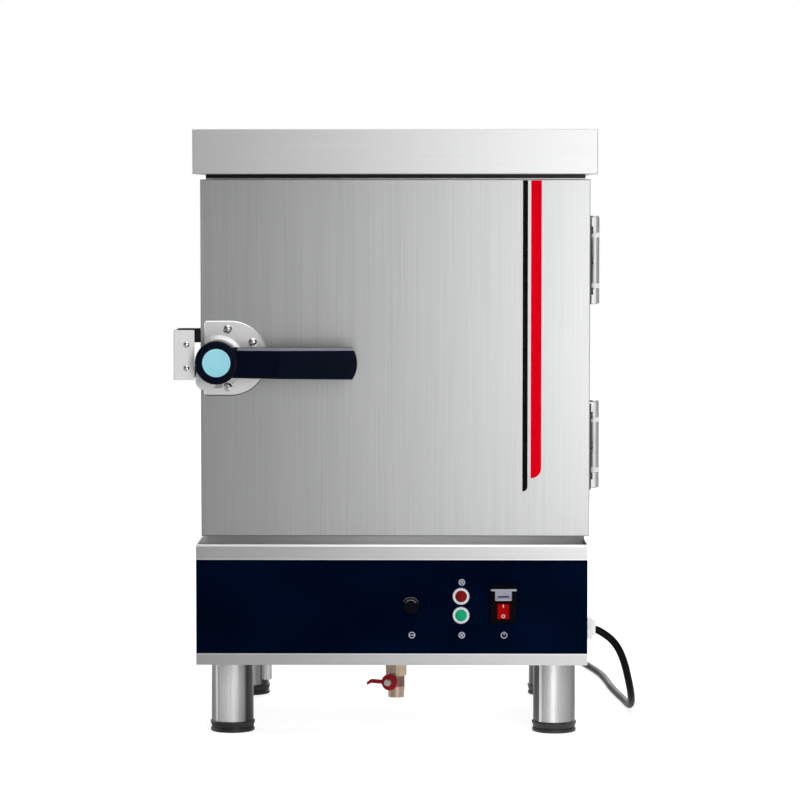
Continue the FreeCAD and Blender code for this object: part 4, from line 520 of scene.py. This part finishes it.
def navy_grip():
    """Smooth navy grip with a pale painted highlight on its bevelled upper edge, right of its hub."""
    hub_rim = 0.0085
    flattest, steepest = 0.95, 0.4
    tree = Tree("navy_grip").set(Specular_IOR_Level=0.06)
    normal, place = tree.facing()
    patch = tree.noise(tree.coords(), scale=25.0)
    navy = tree.mix(tree.spread(patch, 0.0, 1.0), (0.0018, 0.0036, 0.0110), (0.0022, 0.0042, 0.0130))
    tree.put("Base Color", navy)
    hub_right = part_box("latch_cap")[1][0] + hub_rim
    # Painted highlight on the upward-facing edge right of the hub
    bevel_highlight = tree.both(tree.between(normal["Z"], steepest, flattest), tree.above(place["X"], hub_right))
    tree.lay(bevel_highlight, (0.24, 0.25, 0.30))
    tree.put("Roughness", tree.spread(patch, 0.28, 0.36))
    return tree


def clear_cover():
    """Slightly hazy clear plastic."""
    tree = Tree("clear_plastic")
    tree.set(Base_Color=(0.66, 0.68, 0.80, 1), Transmission_Weight=0.55, IOR=1.45, Coat_Weight=0.2)
    haze = tree.noise(tree.coords(), scale=300.0, detail=2.0)
    tree.put("Roughness", tree.spread(haze, 0.10, 0.18))
    return tree


paint(reset_black("reset_black", rim_highlight=0.16), "reset_switch")
paint(reset_black("button_black", rim_highlight=0.34), "reset_button")
paint(jewel("lens_red", (0.15, 0.003, 0.004)), "indicator_lens_red")
paint(jewel("lens_green", (0.005, 0.28, 0.13)), "indicator_lens_green")
paint(navy_grip(), "latch_handle")
paint(clear_cover(), "switch_cover")


# The panel's plain printed marks: each one's kind, and its place across and up in millimetres

MARK_ROW = 128.8
PANEL_MARKS = (
    ("lamp", 83.0, 194.8),
    ("lamp", 83.0, MARK_ROW),
    ("power", 135.5, MARK_ROW),
    ("reset", 21.0, MARK_ROW),
)

# A mark's ring, in metres
MARK_RADIUS = 0.0040
MARK_LINE = 0.0009


def mark(tree, kind, across, up):
    """A ring with a cross for a lamp, an upright in its gap for power, or a level bar for the reset."""
    reach = tree.reach(across, up)
    ring = tree.between(reach, MARK_RADIUS - MARK_LINE, MARK_RADIUS)
    half = MARK_LINE / 2
    if kind == "lamp":
        slanted_half = MARK_LINE * 0.7
        slanted = [tree.math(way, across, up) for way in ("ADD", "SUBTRACT")]
        cross = tree.either(*(tree.between(way, -slanted_half, slanted_half) for way in slanted))
        return tree.either(ring, tree.both(tree.below(reach, MARK_RADIUS), cross))
    if kind == "power":
        gap_half, stroke_top = MARK_LINE * 1.3, MARK_RADIUS * 1.15
        gap = tree.both(tree.between(across, -gap_half, gap_half), tree.above(up, 0.0))
        open_ring = tree.both(ring, tree.math("SUBTRACT", 1.0, gap))
        stroke = tree.both(tree.between(across, -half, half), tree.between(up, 0.0, stroke_top))
        return tree.either(open_ring, stroke)
    bar = tree.both(tree.between(up, -half, half), tree.between(across, -MARK_RADIUS, MARK_RADIUS))
    return tree.either(ring, bar)


def navy_panel():
    """Glossy navy plate with small printed marks."""
    tree = Tree("navy_panel").set(Specular_IOR_Level=0.0)
    cloud = tree.noise(tree.coords((9, 9, 16)), detail=2.0)
    navy = tree.mix(tree.spread(cloud, 0.0, 1.0), (0.0004, 0.0026, 0.0110), (0.0006, 0.0040, 0.0180))
    tree.put("Base Color", navy)
    _, place = tree.facing()
    for kind, x, z in PANEL_MARKS:
        middle = at(x, 0, z)
        across = tree.math("SUBTRACT", place["X"], middle.x)
        up = tree.math("SUBTRACT", place["Z"], middle.z)
        tree.lay(mark(tree, kind, across, up), (0.55, 0.57, 0.66))
    tree.put("Roughness", tree.spread(cloud, 0.16, 0.22))
    return tree


def rocker_red():
    """Red rocker with a pale bar above its middle and a pale ring below."""
    middle_z = at(0, 0, 160.2).z
    bar_half, bar_low, bar_high = 0.0006, 0.0040, 0.0080
    ring_drop, ring_inner, ring_outer = 0.0072, 0.0014, 0.0023
    tree = Tree("rocker_red").set(Specular_IOR_Level=0.02)
    _, place = tree.facing()
    skin = tree.noise(tree.coords(), scale=25.0)
    red = tree.mix(tree.spread(skin, 0.0, 1.0), (0.34, 0.0008, 0.0012), (0.42, 0.0010, 0.0015))
    left, right = (corner[0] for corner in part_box("switch_rocker"))
    across = tree.math("ABSOLUTE", tree.math("SUBTRACT", place["X"], (left + right) / 2))
    up = tree.math("SUBTRACT", place["Z"], middle_z)
    bar = tree.both(tree.below(across, bar_half), tree.between(up, bar_low, bar_high))
    reach = tree.reach(across, tree.math("ADD", up, ring_drop))
    ring = tree.between(reach, ring_inner, ring_outer)
    tree.put("Base Color", tree.mix(tree.math("ADD", bar, ring), red, (0.80, 0.62, 0.60)))
    tree.put("Roughness", tree.spread(skin, 0.26, 0.34))
    return tree


def stripe_film():
    """The black stripe on the left and the red one on the right, with pale cut edges."""
    black_width, red_width, split = 0.0063, 0.0131, 0.008
    left, right = (corner[0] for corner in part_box("door_stripes"))
    tree = Tree("stripe_film").set(Roughness=0.35, Specular_IOR_Level=0.0)
    x = tree.apart(tree.coords())["X"]
    mottle = tree.spread(tree.noise(tree.coords(), scale=120.0), 0.0, 1.0)
    red = tree.mix(mottle, (0.72, 0.0, 0.008), (0.80, 0.001, 0.012))
    black = tree.mix(mottle, (0.004, 0.004, 0.005), (0.008, 0.008, 0.010))
    body = tree.mix(tree.above(x, left + split), black, red)
    in_red = tree.between(x, right - red_width, right)
    in_black = tree.between(x, left, left + black_width)
    tree.put("Base Color", tree.mix(tree.math("ADD", in_red, in_black), grey(0.82), body))
    return tree


paint(navy_panel(), "control_panel")
paint(rocker_red(), "switch_rocker")
paint(stripe_film(), "door_stripes")


# The free cord: one spline along the route, through the coil and out to the plug

CORD_RADIUS = 0.0048

# In millimetres: a lying cord's middle, the place where the cord leaves the base, and the coil
FLOOR_Z = 4.85
GLAND_Y, WALL_X = -90.0, 239.0
COIL_X, COIL_Y, COIL_OUT = 204.0, 492.0, 51.0
COIL_STEP, COIL_LAYER = 10.2, 10.2
COIL_TURNS, CLIMB_TURNS = 3.25, 0.5
PER_TURN = 16

# The route's points, from where the cord leaves the base
route = [
    (2.0, 0.0, 120.9), (14.0, 0.0, 120.9), (30.4, 0.3, 111.6), (41.7, 1.2, 101.2), (49.6, 3.0, 87.6),
    (55.4, 7.0, 70.8), (60.0, 14.5, 51.5), (64.0, 27.5, 33.4), (66.0, 48.5, 18.9), (66.5, 76.5, 9.2),
    (65.4, 110.0, FLOOR_Z), (62.0, 150.0, FLOOR_Z), (56.0, 204.0, FLOOR_Z), (50.5, 266.0, FLOOR_Z),
    (47.5, 330.0, FLOOR_Z), (42.0, 394.0, FLOOR_Z), (32.0, 450.0, FLOOR_Z), (22.5, 500.0, FLOOR_Z),
    (16.0, 541.0, FLOOR_Z), (16.0, 572.4, FLOOR_Z),
]


def coil_place(turns, grow=1.0):
    """The coil's line after this many turns: it spirals in, climbs a layer and spirals out again."""
    half = COIL_TURNS / 2
    radius = (COIL_OUT - COIL_STEP * (half - abs(turns - half))) * grow
    climb = min(max((turns - half + CLIMB_TURNS / 2) / CLIMB_TURNS, 0.0), 1.0)
    rise = COIL_LAYER * climb * climb * (3 - 2 * climb)
    angle = 2 * math.pi * turns
    return at(COIL_X + radius * math.cos(angle), COIL_Y + radius * math.sin(angle), FLOOR_Z + rise)


def cord_points():
    """The route's points, the coil's and the plug's.

    The spline passes inside the coil's points, so these stand out by as much.
    """
    points = [at(WALL_X + x, GLAND_Y + y, z) for x, y, z in route]
    steps = round(COIL_TURNS * PER_TURN)
    grow = 1 / (0.5 + 0.5 * math.cos(math.pi / PER_TURN) ** 2)
    for i in range(steps + 1):
        points.append(coil_place(COIL_TURNS * i / steps, grow if 0 < i < steps else 1.0))
    angle = 2 * math.pi * COIL_TURNS
    ahead = Vector((-math.sin(angle), math.cos(angle), 0))
    points.append(points[-1] + ahead * CORD_RADIUS * 2)
    return points


points = cord_points()
line = bpy.data.curves.new("cord_line", "CURVE")
line.dimensions = "3D"
line.bevel_depth = CORD_RADIUS
line.bevel_resolution = 6
line.resolution_u = 8
line.use_fill_caps = True
spline = line.splines.new("NURBS")
spline.points.add(len(points) - 1)
for target, place in zip(spline.points, points):
    target.co = (*place, 1.0)
spline.order_u = 3
spline.use_endpoint_u = True
cord = bpy.data.objects.new("free_cord", line)
bpy.context.collection.objects.link(cord)
sheath = moulded("cord_sheath", (0.0018, 0.0018, 0.0028), rough=0.40, grain=0.05, specular=0.08)
line.materials.append(sheath.mat)
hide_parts("cord", "cord_coil")
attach(cord, "cabinet")


# Studio: the lights' places are in metres, their powers in watts

def lamp(name, place, target, size, power):
    """A rectangular soft light at a place, turned to its target."""
    data = bpy.data.lights.new(name, "AREA")
    data.shape = "RECTANGLE"
    data.size, data.size_y = size
    data.energy = power
    item = bpy.data.objects.new(name, data)
    bpy.context.collection.objects.link(item)
    item.location = place
    item.rotation_euler = (Vector(target) - Vector(place)).to_track_quat("-Z", "Y").to_euler()


# Upright strips in front of the machine: each one's name, place across and power.
# Each is turned to a target that lies STRIP_TURN times as far across.
STRIP_TURN = 0.3
STRIP_TARGET_Z = 0.45
STRIP_Y, STRIP_Z = -1.75, 0.62
STRIP_SIZE = (0.40, 1.9)
STRIPS = (("strip_middle", 0.05, 1.8544), ("strip_right", 0.55, 13.376), ("strip_far_right", 1.05, 1.52))
for name, x, power in STRIPS:
    lamp(name, (x, STRIP_Y, STRIP_Z), (x * STRIP_TURN, 0.0, STRIP_TARGET_Z), STRIP_SIZE, power)
lamp("top_soft", place=(0.1, -0.5, 2.2), target=(0, 0, 0.5), size=(1.6, 1.4), power=16)
lamp("left_side", place=(-2.2, 0.35, 0.5), target=(0, 0.2, 0.3), size=(1.2, 1.4), power=12)
lamp("behind", place=(0.4, 2.6, 1.3), target=(0, 0, 0.4), size=(1.4, 1.2), power=26)


def studio_sky():
    """White for the rays that see the studio; as a light it is dim, and dimmer on the left."""
    level, left, right = 0.14, 0.9, 1.1
    side_reach, back_reach = 0.8, 0.3
    world = bpy.data.worlds.new("studio")
    bpy.context.scene.world = world
    world.use_nodes = True
    sky = Graph(world.node_tree)
    sky.nodes.clear()
    direction = sky.apart(sky.add("ShaderNodeTexCoord").outputs["Generated"])
    shade = sky.spread(direction["X"], left, right, from_low=-side_reach, from_high=side_reach)
    tone = sky.add("ShaderNodeCombineColor")
    for channel in ("Red", "Green", "Blue"):
        sky.link(shade, tone.inputs[channel])
    lit = sky.add("ShaderNodeBackground", Strength=level)
    sky.link(tone.outputs["Color"], lit.inputs["Color"])
    seen = sky.add("ShaderNodeBackground", Color=(1, 1, 1, 1), Strength=1.0)
    behind = sky.spread(direction["Y"], 0.0, 1.0, from_low=0.0, from_high=back_reach)
    pick = sky.add("ShaderNodeMixShader")
    for socket, source in zip(pick.inputs, (sky.white_rays(behind), lit.outputs[0], seen.outputs[0])):
        sky.link(source, socket)
    sky.link(pick.outputs["Shader"], sky.add("ShaderNodeOutputWorld").inputs["Surface"])


def studio_floor():
    """A pale floor under the machine that glows white further off, like a photographer's sweep."""
    half, front, back, low = 6.0, -5.0, 9.0, -0.0002
    near, far, near_white = 0.45, 1.3, 0.80
    left, right = -0.25, 0.15
    glow_left, glow_right = 0.09, 0.60
    behind_machine = 0.3
    mesh = bpy.data.meshes.new("studio_floor")
    corners = [(x, y, low) for x, y in ((-half, front), (half, front), (half, back), (-half, back))]
    mesh.from_pydata(corners, [], [(0, 1, 2, 3)])
    floor = bpy.data.objects.new("studio_floor", mesh)
    bpy.context.collection.objects.link(floor)
    tree = Tree("studio_floor")
    tree.set(Base_Color=(0.6, 0.6, 0.6, 1), Specular_IOR_Level=0.1, Emission_Color=(1, 1, 1, 1))
    tree.put("Roughness", tree.spread(tree.noise(tree.coords(), scale=40.0), 0.72, 0.8))
    _, place = tree.facing()
    reach = tree.add("ShaderNodeVectorMath", operation="LENGTH")
    tree.link(tree.coords(), reach.inputs[0])
    seen = tree.spread(reach.outputs["Value"], near_white, 1.0, from_low=near, from_high=far)
    glow = tree.spread(place["X"], glow_left, glow_right, from_low=left, from_high=right)
    white = tree.white_rays(tree.above(place["Y"], behind_machine))
    extra = tree.both(white, tree.math("SUBTRACT", seen, glow))
    tree.put("Emission Strength", tree.math("ADD", extra, glow))
    mesh.materials.append(tree.mat)


studio_sky()
studio_floor()

CAMERA_PITCH, CAMERA_YAW = -3.51, 0.65

camera_data = bpy.data.cameras.new("camera")
camera_data.lens = 145.8
camera_data.sensor_width = 36.0
camera_data.clip_end = 60.0
camera = bpy.data.objects.new("camera", camera_data)
bpy.context.collection.objects.link(camera)
camera.location = at(51.6, -4225.0, 667.0)
camera.rotation_euler = (math.radians(90 + CAMERA_PITCH), 0, math.radians(CAMERA_YAW))
bpy.context.scene.camera = camera
bpy.context.scene.view_settings.view_transform = "Standard"
